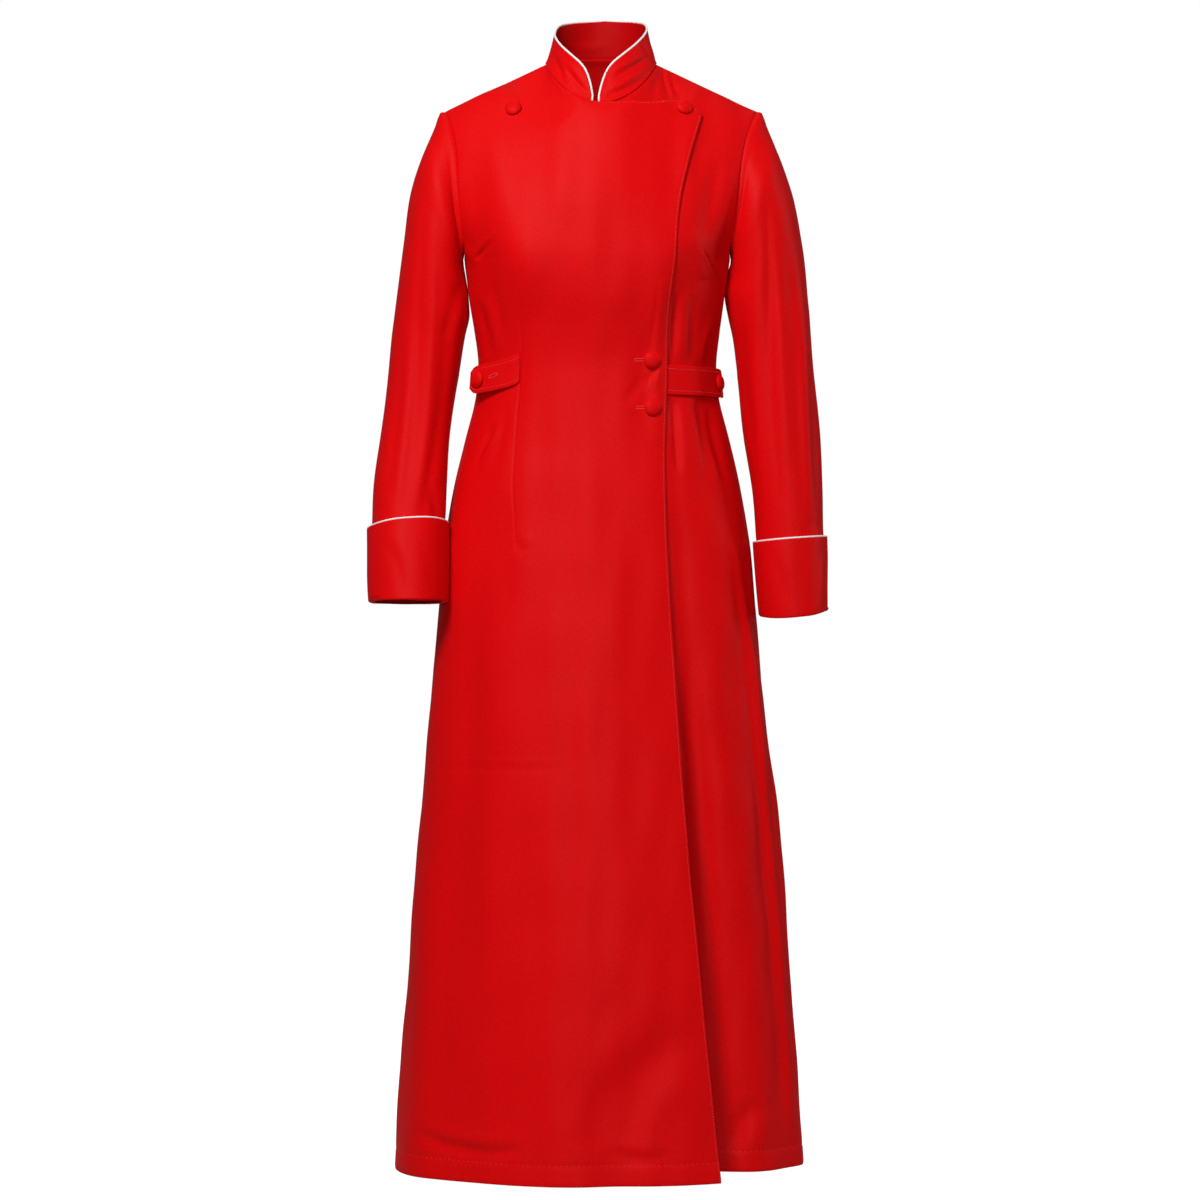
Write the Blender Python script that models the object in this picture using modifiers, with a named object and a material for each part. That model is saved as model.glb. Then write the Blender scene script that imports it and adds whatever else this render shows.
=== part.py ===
"""A cassock: a wrap-front clergy robe, filled out as it is worn and empty inside.

Metres, +Z up. +X is the wearer's left, the front faces -Y. The origin is the middle of the
neck opening, level with the neck end of the shoulder seams.

One surface, cloth(angle, level), is the robe's outer form. The angle runs round the body
from 0 at the centre front, by +90 degrees at the wearer's left side, to 180 at the centre
back. The level is in metres below the underarm where it is negative, and from 0 to 1 is the
share of the way from the underarm up to the shoulder seam and the neck. Every panel is an
open grid on that surface with a wall's thickness.
"""
import math
from collections import namedtuple
from functools import partial

import bpy
import numpy as np
from mathutils import Matrix

# Driving dimensions
CLOTH = 0.0016            # wall of the panels and sleeves
COLLAR_WALL = 0.0022
CUFF_WALL = 0.0022
TAB_WALL = 0.0024
SEAM_GAP = 0.0003
SLEEVE_GAP = 0.0004       # the sleeves' seams, where the two edges turn over the shoulder
LAP_LIFT = 0.0034         # the right front's height over the left front
TAB_GAP = 0.0009          # the waist tabs lie loosely on the cloth
TAB_BUTTON_GAP = 0.0005   # under the tabs' buttons, as the tabs are curved
PIPING = 0.0023           # diameter of the white piping
BUTTON_RADIUS = 0.0105
BUTTON_HEIGHT = 0.0060

UNDERARM = -0.2425        # height of the underarm
HEM = -1.372
LEFT_FRONT_HEM_RISE = 0.008
LEAN = 0.005              # the shoulders stand this far to the wearer's left
NECK_WIDTH = 0.069        # half the neck opening
NECK_FRONT = 0.075        # depth of the neck in front of the shoulder seams
NECK_BACK = 0.062
NECK_POINT_Z = 0.006      # height of the shoulder seam at the neck
NECK_FRONT_Z = -0.0504
NECK_BACK_Z = 0.018
SHOULDER_WIDTH = 0.194    # half the width between the armholes' tops
SHOULDER_TIP_Z = -0.053
COLLAR_GAP = 0.00036      # between the neckline and the collar
COLLAR_LEAN = 0.038       # height over which the collar leans inward
COLLAR_START = -1.2       # degrees round the neck of the collar's left end
COLLAR_STOP = 349.8       # and of its right end
RIM_WIDTH = 0.0583        # half-width of the collar's top edge
RIM_FRONT = 0.067
RIM_BACK = 0.056
TAB_WIDTH = 0.036

NECK_TURN = math.degrees(math.asin(NECK_WIDTH / SHOULDER_WIDTH))

# How fine the grids are
SIDE_STEPS = 7            # side seam to the neck's columns
LAP_STEPS = 7             # centre front to the free edge
YOKE_ROWS = 12            # underarm to shoulder
SLEEVE_ROWS = 20
TINY = 1e-5
# Heights of the body's rows from the hem up, closest together at the waist
BODY_HEIGHTS = np.array([-1.372, -1.280, -1.170, -1.060, -0.950, -0.840, -0.740, -0.650, -0.580,
                         -0.520, -0.475, -0.440, -0.412, -0.390, -0.365, -0.335, -0.305, -0.270])
# Degrees round the neck, from the centre front to the shoulder seam and on to the back
FRONT_NECK = np.array([0.0, 4.5, 9.0, 14.0, 20.0, 28.0, 38.0, 50.0, 64.0, 77.0, 90.0])
BACK_NECK = np.linspace(90, 180, 6)

# The body's sections: height, half-width, depth in front and behind, and how square each is
Section = namedtuple("Section", "z half_width front back front_square back_square")
BODY = [
    Section(-1.372, 0.2520, 0.202, 0.202, 0.96, 0.96),
    Section(-1.165, 0.2380, 0.187, 0.188, 0.95, 0.95),
    Section(-0.980, 0.2240, 0.168, 0.172, 0.93, 0.93),
    Section(-0.780, 0.2070, 0.146, 0.154, 0.90, 0.92),
    Section(-0.680, 0.1985, 0.134, 0.144, 0.88, 0.90),
    Section(-0.590, 0.1900, 0.122, 0.133, 0.86, 0.88),
    Section(-0.515, 0.1770, 0.112, 0.117, 0.85, 0.86),
    Section(-0.466, 0.1650, 0.105, 0.103, 0.84, 0.84),
    Section(-0.412, 0.1515, 0.100, 0.088, 0.83, 0.82),
    Section(-0.371, 0.1485, 0.100, 0.083, 0.82, 0.80),
    Section(-0.330, 0.1530, 0.106, 0.087, 0.81, 0.80),
    Section(-0.290, 0.1590, 0.114, 0.096, 0.80, 0.80),
    Section(UNDERARM, 0.1655, 0.118, 0.105, 0.80, 0.80),
    Section(-0.200, 0.1700, 0.116, 0.109, 0.80, 0.80),
]

# Half-width of the upper body, by the share of the way up from the underarm
Yoke = namedtuple("Yoke", "level half_width")
YOKE = [Yoke(-0.2, 0.1590), Yoke(0.0, 0.1655), Yoke(0.1, 0.1735), Yoke(0.25, 0.1880),
        Yoke(0.4, 0.1975), Yoke(0.6, 0.2000), Yoke(0.8, 0.1985), Yoke(1.0, SHOULDER_WIDTH)]

# How far the armhole cuts in from the side, in degrees, in front and behind
Armhole = namedtuple("Armhole", "level front back")
ARMHOLE = [Armhole(0.0, 0.0, 0.0), Armhole(0.02, 6.7, 6.5), Armhole(0.06, 12.5, 12.0),
           Armhole(0.15, 19.0, 18.0), Armhole(0.3, 25.0, 24.0), Armhole(0.45, 27.5, 26.0),
           Armhole(0.6, 26.0, 25.0), Armhole(0.75, 21.0, 20.0), Armhole(0.9, 11.0, 11.0),
           Armhole(1.0, 0.0, 0.0)]

# The free front edge, as distance from the centre front, and the top edge beyond the neck
LapEdge = namedtuple("LapEdge", "z x")
LAP_EDGE = [LapEdge(-1.372, 0.1490), LapEdge(-1.310, 0.1428), LapEdge(-1.150, 0.1270),
            LapEdge(-0.955, 0.1092), LapEdge(-0.750, 0.0954), LapEdge(-0.567, 0.0848),
            LapEdge(-0.400, 0.0843), LapEdge(-0.276, 0.0894), LapEdge(-0.207, 0.0955),
            LapEdge(-0.125, 0.1119), LapEdge(-0.0665, 0.1290)]
LapTop = namedtuple("LapTop", "x z")
LAP_TOP = [LapTop(0.0, NECK_FRONT_Z), LapTop(0.035, -0.0508), LapTop(0.070, -0.0510),
           LapTop(0.100, -0.0505), LapTop(0.118, -0.0575), LapTop(0.129, -0.0665)]

# Soft folds of the robe: angle at the top and at the hem, height where each begins and
# where it is at its deepest, depth outward (inward where negative) and width in degrees
Fold = namedtuple("Fold", "top_angle hem_angle start full depth width")
FOLDS = [
    Fold(60, 78, -0.56, -1.00, 0.010, 9),
    Fold(90, 90, -0.70, -1.20, -0.006, 8),
    Fold(112, 116, -0.62, -1.25, 0.011, 11),
    Fold(134, 138, -0.66, -1.25, -0.011, 10),
    Fold(158, 157, -0.60, -1.20, 0.012, 11),
    Fold(180, 181, -0.62, -1.25, -0.009, 10),
    Fold(203, 204, -0.64, -1.20, 0.012, 11),
    Fold(226, 223, -0.60, -1.25, -0.010, 10),
    Fold(248, 244, -0.66, -1.25, 0.010, 10),
    Fold(-58, -64, -0.75, -1.25, 0.005, 12),
    Fold(-34, -38, -0.90, -1.30, -0.005, 11),
    Fold(-6, -12, -0.85, -1.30, 0.004, 13),
    Fold(30, 6, -1.10, -1.34, -0.008, 9),
]
# The left front falls back beside the free edge of the right front
RECESS = Fold(31, 41, -0.44, -1.34, -0.045, 9)

# Soft fullness: place on the front, height, outward depth, half spread across and up
Fullness = namedtuple("Fullness", "angle z depth spread rise")
FULLNESS = [Fullness(-33, -0.240, 0.008, 16, 0.050), Fullness(33, -0.240, 0.008, 16, 0.050),
            Fullness(148, -0.120, 0.004, 22, 0.060), Fullness(212, -0.120, 0.004, 22, 0.060)]

# Sleeve rings: the point next to the body, the outer point, half the depth, the place of
# the middle (front negative), and how much the front stands higher than the middle
Ring = namedtuple("Ring", "in_x in_z out_x out_z half_depth y rise")
RIGHT_SLEEVE = [
    Ring(0.1665, -0.2480, 0.2110, -0.0925, 0.064, 0.001, 0.000),
    Ring(0.1656, -0.2530, 0.2310, -0.1490, 0.066, 0.002, 0.000),
    Ring(0.1642, -0.2610, 0.2420, -0.2190, 0.066, 0.003, 0.000),
    Ring(0.1602, -0.2890, 0.2508, -0.2890, 0.063, 0.003, 0.000),
    Ring(0.1592, -0.3110, 0.2532, -0.3110, 0.0615, 0.0025, 0.0005),
    Ring(0.1650, -0.3330, 0.2558, -0.3330, 0.060, 0.002, 0.001),
    Ring(0.1720, -0.3710, 0.2590, -0.3710, 0.057, -0.002, 0.003),
    Ring(0.1845, -0.4660, 0.2690, -0.4660, 0.050, -0.018, 0.006),
    Ring(0.1875, -0.5300, 0.2750, -0.5300, 0.046, -0.035, 0.008),
    Ring(0.1885, -0.5710, 0.2760, -0.5710, 0.0445, -0.046, 0.007),
    Ring(0.1885, -0.6640, 0.2775, -0.6645, 0.0445, -0.070, 0.003),
]
LEFT_SLEEVE = [
    Ring(0.1665, -0.2490, 0.2240, -0.0985, 0.064, 0.001, 0.000),
    Ring(0.1656, -0.2550, 0.2425, -0.1490, 0.066, 0.002, 0.000),
    Ring(0.1645, -0.2650, 0.2550, -0.2200, 0.066, 0.003, 0.000),
    Ring(0.1608, -0.2900, 0.2625, -0.2870, 0.063, 0.003, 0.000),
    Ring(0.1650, -0.3120, 0.2656, -0.3100, 0.0615, 0.0025, 0.000),
    Ring(0.1705, -0.3350, 0.2680, -0.3350, 0.060, 0.002, 0.000),
    Ring(0.1760, -0.3740, 0.2710, -0.3710, 0.057, 0.000, 0.000),
    Ring(0.1855, -0.4650, 0.2805, -0.4660, 0.050, -0.008, 0.001),
    Ring(0.1945, -0.5325, 0.2830, -0.5300, 0.046, -0.015, 0.001),
    Ring(0.1984, -0.5875, 0.2830, -0.5825, 0.0445, -0.019, 0.001),
    Ring(0.2048, -0.6810, 0.2872, -0.6740, 0.0435, -0.025, -0.005),
]
# Cuff rings, top edge and bottom fold
RIGHT_CUFF = [Ring(0.1850, -0.5710, 0.2825, -0.5790, 0.0505, -0.046, 0.010),
              Ring(0.1850, -0.6670, 0.2810, -0.6675, 0.0485, -0.070, 0.003)]
LEFT_CUFF = [Ring(0.1942, -0.5940, 0.2893, -0.5865, 0.0505, -0.019, 0.001),
             Ring(0.2014, -0.6849, 0.2905, -0.6769, 0.0475, -0.025, -0.0055)]

# Top edge of the stand collar: degrees from its nearer end, and height
CollarRim = namedtuple("CollarRim", "from_end z")
COLLAR_RIM = [CollarRim(0, -0.0430), CollarRim(1.5, -0.0345), CollarRim(3.5, -0.0265),
              CollarRim(6, -0.0190), CollarRim(9, -0.0120), CollarRim(15, -0.0035),
              CollarRim(27, 0.0070), CollarRim(45, 0.0200), CollarRim(65, 0.0335),
              CollarRim(85, 0.0450), CollarRim(105, 0.0545), CollarRim(130, 0.0605),
              CollarRim(176, 0.0655)]

# Waist tabs: angle of the sewn end and of the free end, heights of the middle line there,
# angle of the button, and how far the free end stands off the waist
Tab = namedtuple("Tab", "name side sewn_angle free_angle sewn_z free_z button_angle stand")
TABS = [Tab("right", -1, 39.5, 75, -0.3775, -0.3935, 68.5, 0.0130),
        Tab("left", 1, 31.5, 97, -0.3930, -0.3960, 78, 0.0030)]
TAB_EASE = 0.0034         # extra height of the lap where the left tab goes under it
TAB_EASE_SPREAD = 0.030
YOKE_EASE = 0.0022        # extra height of the lap above the bust

# Front buttons: distance from the centre front, height, and gap over the cloth
FrontButton = namedtuple("FrontButton", "x z gap")
FRONT_BUTTONS = [FrontButton(-0.1030, -0.0575, 0.0003), FrontButton(0.1060, -0.0590, 0.0003),
                 FrontButton(0.0660, -0.3700, 0.0009), FrontButton(0.0670, -0.4290, 0.0009)]

# Half section of a covered button: share of the radius and of the height
Profile = namedtuple("Profile", "radius height")
BUTTON = [Profile(0.0, 1.0), Profile(0.40, 0.95), Profile(0.72, 0.78), Profile(0.93, 0.50),
          Profile(1.0, 0.26), Profile(0.93, 0.06), Profile(0.80, 0.0), Profile(0.0, 0.0)]
BUTTON_STEPS = 16

RED = (0.55, 0.012, 0.020, 1.0)
DEEP_RED = (0.50, 0.010, 0.018, 1.0)
WHITE = (0.86, 0.85, 0.84, 1.0)


def smooth(rows, column, at):
    """The value of a table's column at a place in its first column, as a smooth curve."""
    places = np.array([row[0] for row in rows])
    values = np.array([getattr(row, column) for row in rows])
    slopes = np.gradient(values, places)
    at = np.clip(at, places[0], places[-1])
    k = np.clip(np.searchsorted(places, at, side="right") - 1, 0, len(places) - 2)
    step = places[k + 1] - places[k]
    s = (at - places[k]) / step
    return (values[k] * (1 + 2 * s) * (1 - s) ** 2 + values[k + 1] * s * s * (3 - 2 * s)
            + step * (slopes[k] * s * (1 - s) ** 2 - slopes[k + 1] * s * s * (1 - s)))


def ramp(start, full, at):
    """0 before start, 1 past full, with a soft rise between."""
    s = np.clip((at - start) / (full - start), 0.0, 1.0)
    return s * s * (3 - 2 * s)


def turn_between(angle, centre):
    """The angle from centre, the short way round, in degrees."""
    return (angle - centre + 180.0) % 360.0 - 180.0


def fold_relief(fold, angle, z):
    """How far one fold moves the cloth outward."""
    share = ramp(fold.start, fold.full, z)
    centre = fold.top_angle + (fold.hem_angle - fold.top_angle) * share
    return fold.depth * share * np.exp(-(turn_between(angle, centre) / fold.width) ** 2)


def relief(angle, z):
    """All the folds and the fullness of the robe together."""
    total = sum(fold_relief(fold, angle, z) for fold in FOLDS)
    for spot in FULLNESS:
        total = total + spot.depth * np.exp(-(turn_between(angle, spot.angle) / spot.spread) ** 2
                                            - ((z - spot.z) / spot.rise) ** 2)
    return total


def body_section(angle, z):
    """The plain section, without folds: x, y and z."""
    turn = np.radians(angle)
    across, along = np.sin(turn), np.cos(turn)
    front = smooth(BODY, "front", z) * np.abs(along) ** smooth(BODY, "front_square", z)
    back = smooth(BODY, "back", z) * np.abs(along) ** smooth(BODY, "back_square", z)
    return smooth(BODY, "half_width", z) * across, np.where(along > 0, -front, back), z


def top_edge(angle):
    """Neckline and shoulder seam: y, z and the slope of the cloth where it arrives."""
    across = np.abs(np.sin(np.radians(angle)))
    front = np.cos(np.radians(angle)) > 0
    on_neck = np.clip(across * SHOULDER_WIDTH / NECK_WIDTH, 0.0, 1.0)
    round_neck = np.sqrt(1.0 - on_neck ** 2)
    along = np.clip((across * SHOULDER_WIDTH - NECK_WIDTH) / (SHOULDER_WIDTH - NECK_WIDTH), 0, 1)
    y = np.where(front, -NECK_FRONT, NECK_BACK) * round_neck
    drop = np.where(front, (NECK_FRONT_Z - NECK_POINT_Z) * round_neck ** 1.6,
                    (NECK_BACK_Z - NECK_POINT_Z) * round_neck ** 1.2)
    z = NECK_POINT_Z + (SHOULDER_TIP_Z - NECK_POINT_Z) * along + drop
    slope = np.where(front, 34 + 36 * round_neck, 34 + 38 * round_neck) - 12 * along
    return y, z, np.radians(slope)


def cloth(angle, level):
    """The robe's outer surface."""
    angle, level = np.broadcast_arrays(np.asarray(angle, float), np.asarray(level, float))
    below = np.minimum(level, 0.0)
    x0, y0, z0 = body_section(angle, UNDERARM + below)
    _, y_up, _ = body_section(angle, UNDERARM + below + 0.01)
    top_y, top_z, slope = top_edge(angle)
    rise = (top_z - UNDERARM) / 3
    sign = np.where(np.cos(np.radians(angle)) > 0, -1.0, 1.0)
    y1, z1 = y0 + (y_up - y0) * rise / 0.01, UNDERARM + rise
    y2 = top_y + sign * 0.060 * np.cos(slope)
    z2 = top_z - 0.060 * np.sin(slope)
    t = np.clip(level, 0.0, 1.0)
    weights = (1 - t) ** 3, 3 * t * (1 - t) ** 2, 3 * t * t * (1 - t), t ** 3
    above_y = sum(w * v for w, v in zip(weights, (y0, y1, y2, top_y)))
    above_z = sum(w * v for w, v in zip(weights, (z0, z1, z2, top_z)))
    above_x = smooth(YOKE, "half_width", t) * np.sin(np.radians(angle)) + LEAN * ramp(0, 1, t)
    up = level > 0
    x, y, z = np.where(up, above_x, x0), np.where(up, above_y, y0), np.where(up, above_z, z0)
    out = relief(angle, z) * (1 - ramp(0.55, 1.0, level))
    turn = np.radians(angle)
    return np.stack([x + out * np.sin(turn), y - out * np.cos(turn), z], axis=-1)


def outward(angle, level):
    """Unit normals of the surface."""
    small_turn, small_step = 0.5, 0.004
    level = np.clip(level, -10.0, 1.0 - small_step)
    across = cloth(angle + small_turn, level) - cloth(angle - small_turn, level)
    up = cloth(angle, level + small_step) - cloth(angle, level - small_step)
    normal = np.cross(across, up)
    return normal / np.linalg.norm(normal, axis=-1, keepdims=True)


def angle_at(x, level):
    """The angle on the front where the surface is at x."""
    width = np.where(level > 0, smooth(YOKE, "half_width", np.clip(level, 0, 1)),
                     smooth(BODY, "half_width", UNDERARM + np.minimum(level, 0)))
    lean = LEAN * ramp(0, 1, level)
    return np.degrees(np.arcsin(np.clip((x - lean) / width, -1, 1)))


def level_at(angle, z):
    """The level where the surface is at height z."""
    low, high = np.zeros_like(angle * z), np.ones_like(angle * z)
    for _ in range(26):
        middle = (low + high) / 2
        under = cloth(angle, middle)[..., 2] < z
        low, high = np.where(under, middle, low), np.where(under, high, middle)
    return np.where(z < UNDERARM, z - UNDERARM, (low + high) / 2)


def lap_lift(angle, level):
    """How far the right front stands off the surface, to lie over the left front."""
    point = cloth(angle, level)
    x, z = point[..., 0], point[..., 2]
    edge = smooth(LAP_EDGE, "x", z)
    lift = LAP_LIFT * ramp(-edge - 0.055, -edge - 0.004, x) * (1 - ramp(-0.038, -0.016, z))
    ease = TAB_EASE * ramp(edge - TAB_EASE_SPREAD, edge - TAB_EASE_SPREAD / 3, x)
    yoke = YOKE_EASE * ramp(-0.22, -0.14, z) / LAP_LIFT
    return lift * (1 + yoke) + ease * np.exp(-((z - TABS[1].sewn_z) / 0.042) ** 2)


def lapped(angle, level):
    """The outer surface of the right front."""
    return cloth(angle, level) + outward(angle, level) * lap_lift(angle, level)[..., None]


def edge_angle(side, level):
    """The angle, to the far side of the centre front, of a front's free edge."""
    angle = np.full_like(level, 34.0)
    for _ in range(12):
        z = cloth(-side * angle, level)[..., 2]
        angle = np.abs(angle_at(-side * smooth(LAP_EDGE, "x", z), level))
    return angle


def armhole_levels(count):
    """Levels from 0 to 1, at equal distances along the front of the armhole."""
    fine = np.linspace(0, 1, 400) ** 2
    line = cloth(90 - smooth(ARMHOLE, "front", fine), fine)
    along = np.concatenate([[0], np.cumsum(np.linalg.norm(np.diff(line, axis=0), axis=1))])
    return np.interp(np.linspace(0, along[-1], count + 1), along, fine)


def row_levels():
    """Levels of all the body's rows, from the hem to the shoulders."""
    return np.concatenate([BODY_HEIGHTS - UNDERARM, armhole_levels(YOKE_ROWS)])


def neck_columns(turns, level):
    """Angles of the columns that end on the neckline, evenly spaced lower down."""
    top = np.degrees(np.arcsin(NECK_WIDTH / SHOULDER_WIDTH * np.sin(np.radians(turns))))
    low = np.linspace(0, NECK_TURN + 8.0, len(turns))
    share = ramp(0.0, 0.8, level)
    return low + (top - low) * share


def front_grid(side):
    """Angles and levels of a front's grid, from its side seam to its free edge."""
    levels = row_levels()
    cut = np.where(levels > 0, smooth(ARMHOLE, "front", np.clip(levels, 0, 1)), 0.0)
    side_part = np.linspace(0, 1, SIDE_STEPS, endpoint=False) ** 1.1
    share = np.linspace(0, 1, LAP_STEPS + 1)
    angles, heights = [], []
    for row, level in enumerate(levels):
        neck = neck_columns(FRONT_NECK, level)[::-1]
        own = (90 - cut[row]) + (neck[0] - 90 + cut[row]) * side_part
        own = np.concatenate([own, neck[:-1]])
        lap_level = np.full(LAP_STEPS + 1, level)
        for _ in range(6 if level > 0 else 1):
            lap_angle = share * edge_angle(side, lap_level)
            if level > 0:
                x = np.abs(cloth(-side * lap_angle, lap_level)[:, 0])
                top = level_at(-side * lap_angle, smooth(LAP_TOP, "z", x))
                lap_level = level * np.where(share > 0, top, 1.0)
        angles.append(np.concatenate([side * own, -side * lap_angle]))
        heights.append(np.concatenate([np.full(len(own), level), lap_level]))
    return np.array(angles), np.array(heights)


def seam_normals(normals, on_seam, angles, levels, armholes):
    """A panel's normals, with the surface's own along the armholes and, along the side and
    shoulder seams, normals that lie in the seam's plane."""
    for column in armholes:
        up = levels[:, column] > 0
        normals[up, column] = outward(angles[up, column], levels[up, column])
    normals[on_seam, 1] = 0.0
    return normals / np.linalg.norm(normals, axis=2, keepdims=True)


def front_points(side):
    """The outer face of a front, with its normals."""
    angles, levels = front_grid(side)
    if side > 0:
        levels = levels + LEFT_FRONT_HEM_RISE * (1 - ramp(HEM, HEM + 0.3, levels + UNDERARM))
    points = lapped(angles, levels) if side < 0 else cloth(angles, levels)
    if side > 0:
        sunk = fold_relief(RECESS, angles, points[..., 2])
        turn = np.radians(angles)
        points = points + np.stack([sunk * np.sin(turn), -sunk * np.cos(turn), 0 * sunk], axis=-1)
    on_seam = np.zeros(levels.shape, bool)
    on_seam[levels[:, 0] <= 0, 0] = True
    on_seam[-1, :SIDE_STEPS + 1] = True
    points[on_seam, 1] -= SEAM_GAP / 2
    normals = grid_normals(points, False, side > 0)
    return points, seam_normals(normals, on_seam, angles, levels, [0])


def back_points():
    """The outer face of the back, from the left side seam round to the right one, with its
    normals."""
    levels = row_levels()
    cut = np.where(levels > 0, smooth(ARMHOLE, "back", np.clip(levels, 0, 1)), 0.0)
    part = np.linspace(0, 1, SIDE_STEPS, endpoint=False) ** 1.1
    rows = []
    for row, level in enumerate(levels):
        neck = neck_columns(180 - BACK_NECK[::-1], level)[::-1]
        left = 90 + cut[row] + (90 - neck[0] - cut[row]) * part
        middle = np.concatenate([180 - neck, 180 + neck[-2::-1]])
        rows.append(np.concatenate([left, middle, 360 - left[::-1]]))
    angles = np.array(rows)
    points = cloth(angles, levels[:, None])
    on_seam = np.zeros(angles.shape, bool)
    on_seam[levels <= 0, 0] = on_seam[levels <= 0, -1] = True
    on_seam[-1, :SIDE_STEPS + 1] = on_seam[-1, -SIDE_STEPS - 1:] = True
    points[on_seam, 1] += SEAM_GAP / 2
    normals = grid_normals(points, False, False)
    return points, seam_normals(normals, on_seam, angles, levels[:, None] + 0 * angles, [0, -1])


def material(name, color, roughness):
    """A plain cloth material."""
    made = bpy.data.materials.new(name)
    made.use_nodes = True
    shader = made.node_tree.nodes["Principled BSDF"]
    shader.inputs["Base Color"].default_value = color
    shader.inputs["Roughness"].default_value = roughness
    shader.inputs["Metallic"].default_value = 0.0
    return made


def add_mesh(name, vertices, faces, finish, collection):
    """A named object from vertices and faces, shaded smooth."""
    mesh = bpy.data.meshes.new(name)
    mesh.from_pydata([tuple(v) for v in vertices], [], faces)
    mesh.shade_smooth()
    mesh.materials.append(finish)
    made = bpy.data.objects.new(name, mesh)
    collection.objects.link(made)
    return made


def grid_faces(rows, columns, closed, flip):
    """Quads of a grid of points, closed round its columns where asked."""
    faces = []
    for row in range(rows - 1):
        for column in range(columns if closed else columns - 1):
            following = (column + 1) % columns
            quad = [row * columns + column, row * columns + following,
                    (row + 1) * columns + following, (row + 1) * columns + column]
            faces.append(quad[::-1] if flip else quad)
    return faces


def add_wall(name, points, thickness, finish, collection, closed=False, flip=False):
    """A cloth wall: a grid of outer points with its thickness inward."""
    rows, columns = points.shape[:2]
    wall = add_mesh(name, points.reshape(-1, 3), grid_faces(rows, columns, closed, flip),
                    finish, collection)
    shell = wall.modifiers.new("wall", "SOLIDIFY")
    shell.thickness = thickness
    shell.offset = -1.0
    return wall


def grid_normals(points, closed, flip):
    """Unit normals of a grid of points."""
    if closed:
        around = np.roll(points, -1, axis=1) - np.roll(points, 1, axis=1)
    else:
        around = np.gradient(points, axis=1)
    normals = np.cross(around, np.gradient(points, axis=0)) * (-1.0 if flip else 1.0)
    return normals / np.linalg.norm(normals, axis=2, keepdims=True)


def add_cloth(name, points, normals, finish, collection, closed=False, flip=False):
    """A panel or sleeve: a grid of outer points, an inner grid a wall's thickness behind it
    along the normals given, and rims between them. Two pieces that share a seam are given
    the same normals there, and rims are split along the shorter diagonal, so that the two
    don't run into each other inside."""
    rows, columns = points.shape[:2]
    inner = points - normals * CLOTH
    count = rows * columns
    faces = []
    for a, b, c, d in grid_faces(rows, columns, closed, flip):
        faces += [[a, b, c], [a, c, d]]
    faces += [[count + k for k in face[::-1]] for face in faces]
    if closed:
        borders = [list(range(columns)), list(range(count - 1, count - columns - 1, -1))]
    else:
        borders = [list(range(columns)) + [row * columns + columns - 1 for row in range(1, rows)]
                   + [(rows - 1) * columns + column for column in range(columns - 2, -1, -1)]
                   + [row * columns for row in range(rows - 2, 0, -1)]]
    vertices = np.concatenate([points.reshape(-1, 3), inner.reshape(-1, 3)])
    for border in borders:
        for here, following in zip(border, border[1:] + border[:1]):
            corners = vertices[[following, here, count + here, count + following]]
            first, second = np.linalg.norm(corners[:2] - corners[2:], axis=1)
            rim = ([[following, here, count + here], [following, count + here, count + following]]
                   if first < second else
                   [[following, here, count + following], [here, count + here, count + following]])
            faces += [face[::-1] if flip else face for face in rim]
    return add_mesh(name, vertices, faces, finish, collection)


def ring_points(ring, side, turns):
    """Points round a sleeve or cuff, from the body side by the front to the outer side."""
    x = (ring.in_x + ring.out_x) / 2 - (ring.out_x - ring.in_x) / 2 * np.cos(turns)
    z = (ring.in_z + ring.out_z) / 2 - (ring.out_z - ring.in_z) / 2 * np.cos(turns)
    y = ring.y - ring.half_depth * np.sin(turns)
    return np.stack([side * x, y, z + ring.rise * np.sin(turns)], axis=-1)


def armhole_loop(side):
    """The armhole from the underarm by the front to the shoulder and down the back, the
    direction in which the cloth leaves it, and its normals."""
    levels = armhole_levels(YOKE_ROWS)
    front = side * (90 - smooth(ARMHOLE, "front", levels))
    back = side * (90 + smooth(ARMHOLE, "back", levels))
    angles = np.concatenate([front, back[-2:0:-1]])
    heights = np.concatenate([levels, levels[-2:0:-1]])
    loop = cloth(angles, heights)
    normals = outward(angles, heights)
    normals[[0, YOKE_ROWS], 1] = 0.0
    normals /= np.linalg.norm(normals, axis=1, keepdims=True)
    along = np.roll(loop, -1, axis=0) - np.roll(loop, 1, axis=0)
    leave = np.cross(along, normals) * side
    leave /= np.linalg.norm(leave, axis=1, keepdims=True)
    return loop, leave, normals


def loft_rows(rings, count):
    """Rings at even distances along a smooth loft through the given rings."""
    stack = np.array(rings)
    steps = np.linalg.norm(np.diff(stack, axis=0), axis=2).mean(axis=1)
    places = np.concatenate([[0], np.cumsum(steps)])
    slopes = np.gradient(stack, places, axis=0)
    at = np.linspace(0, places[-1], count)
    k = np.clip(np.searchsorted(places, at, side="right") - 1, 0, len(places) - 2)
    step = (places[k + 1] - places[k])[:, None, None]
    s = ((at - places[k])[:, None, None]) / step
    return (stack[k] * (1 + 2 * s) * (1 - s) ** 2 + stack[k + 1] * s * s * (3 - 2 * s)
            + step * (slopes[k] * s * (1 - s) ** 2 - slopes[k + 1] * s * s * (1 - s)))


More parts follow.
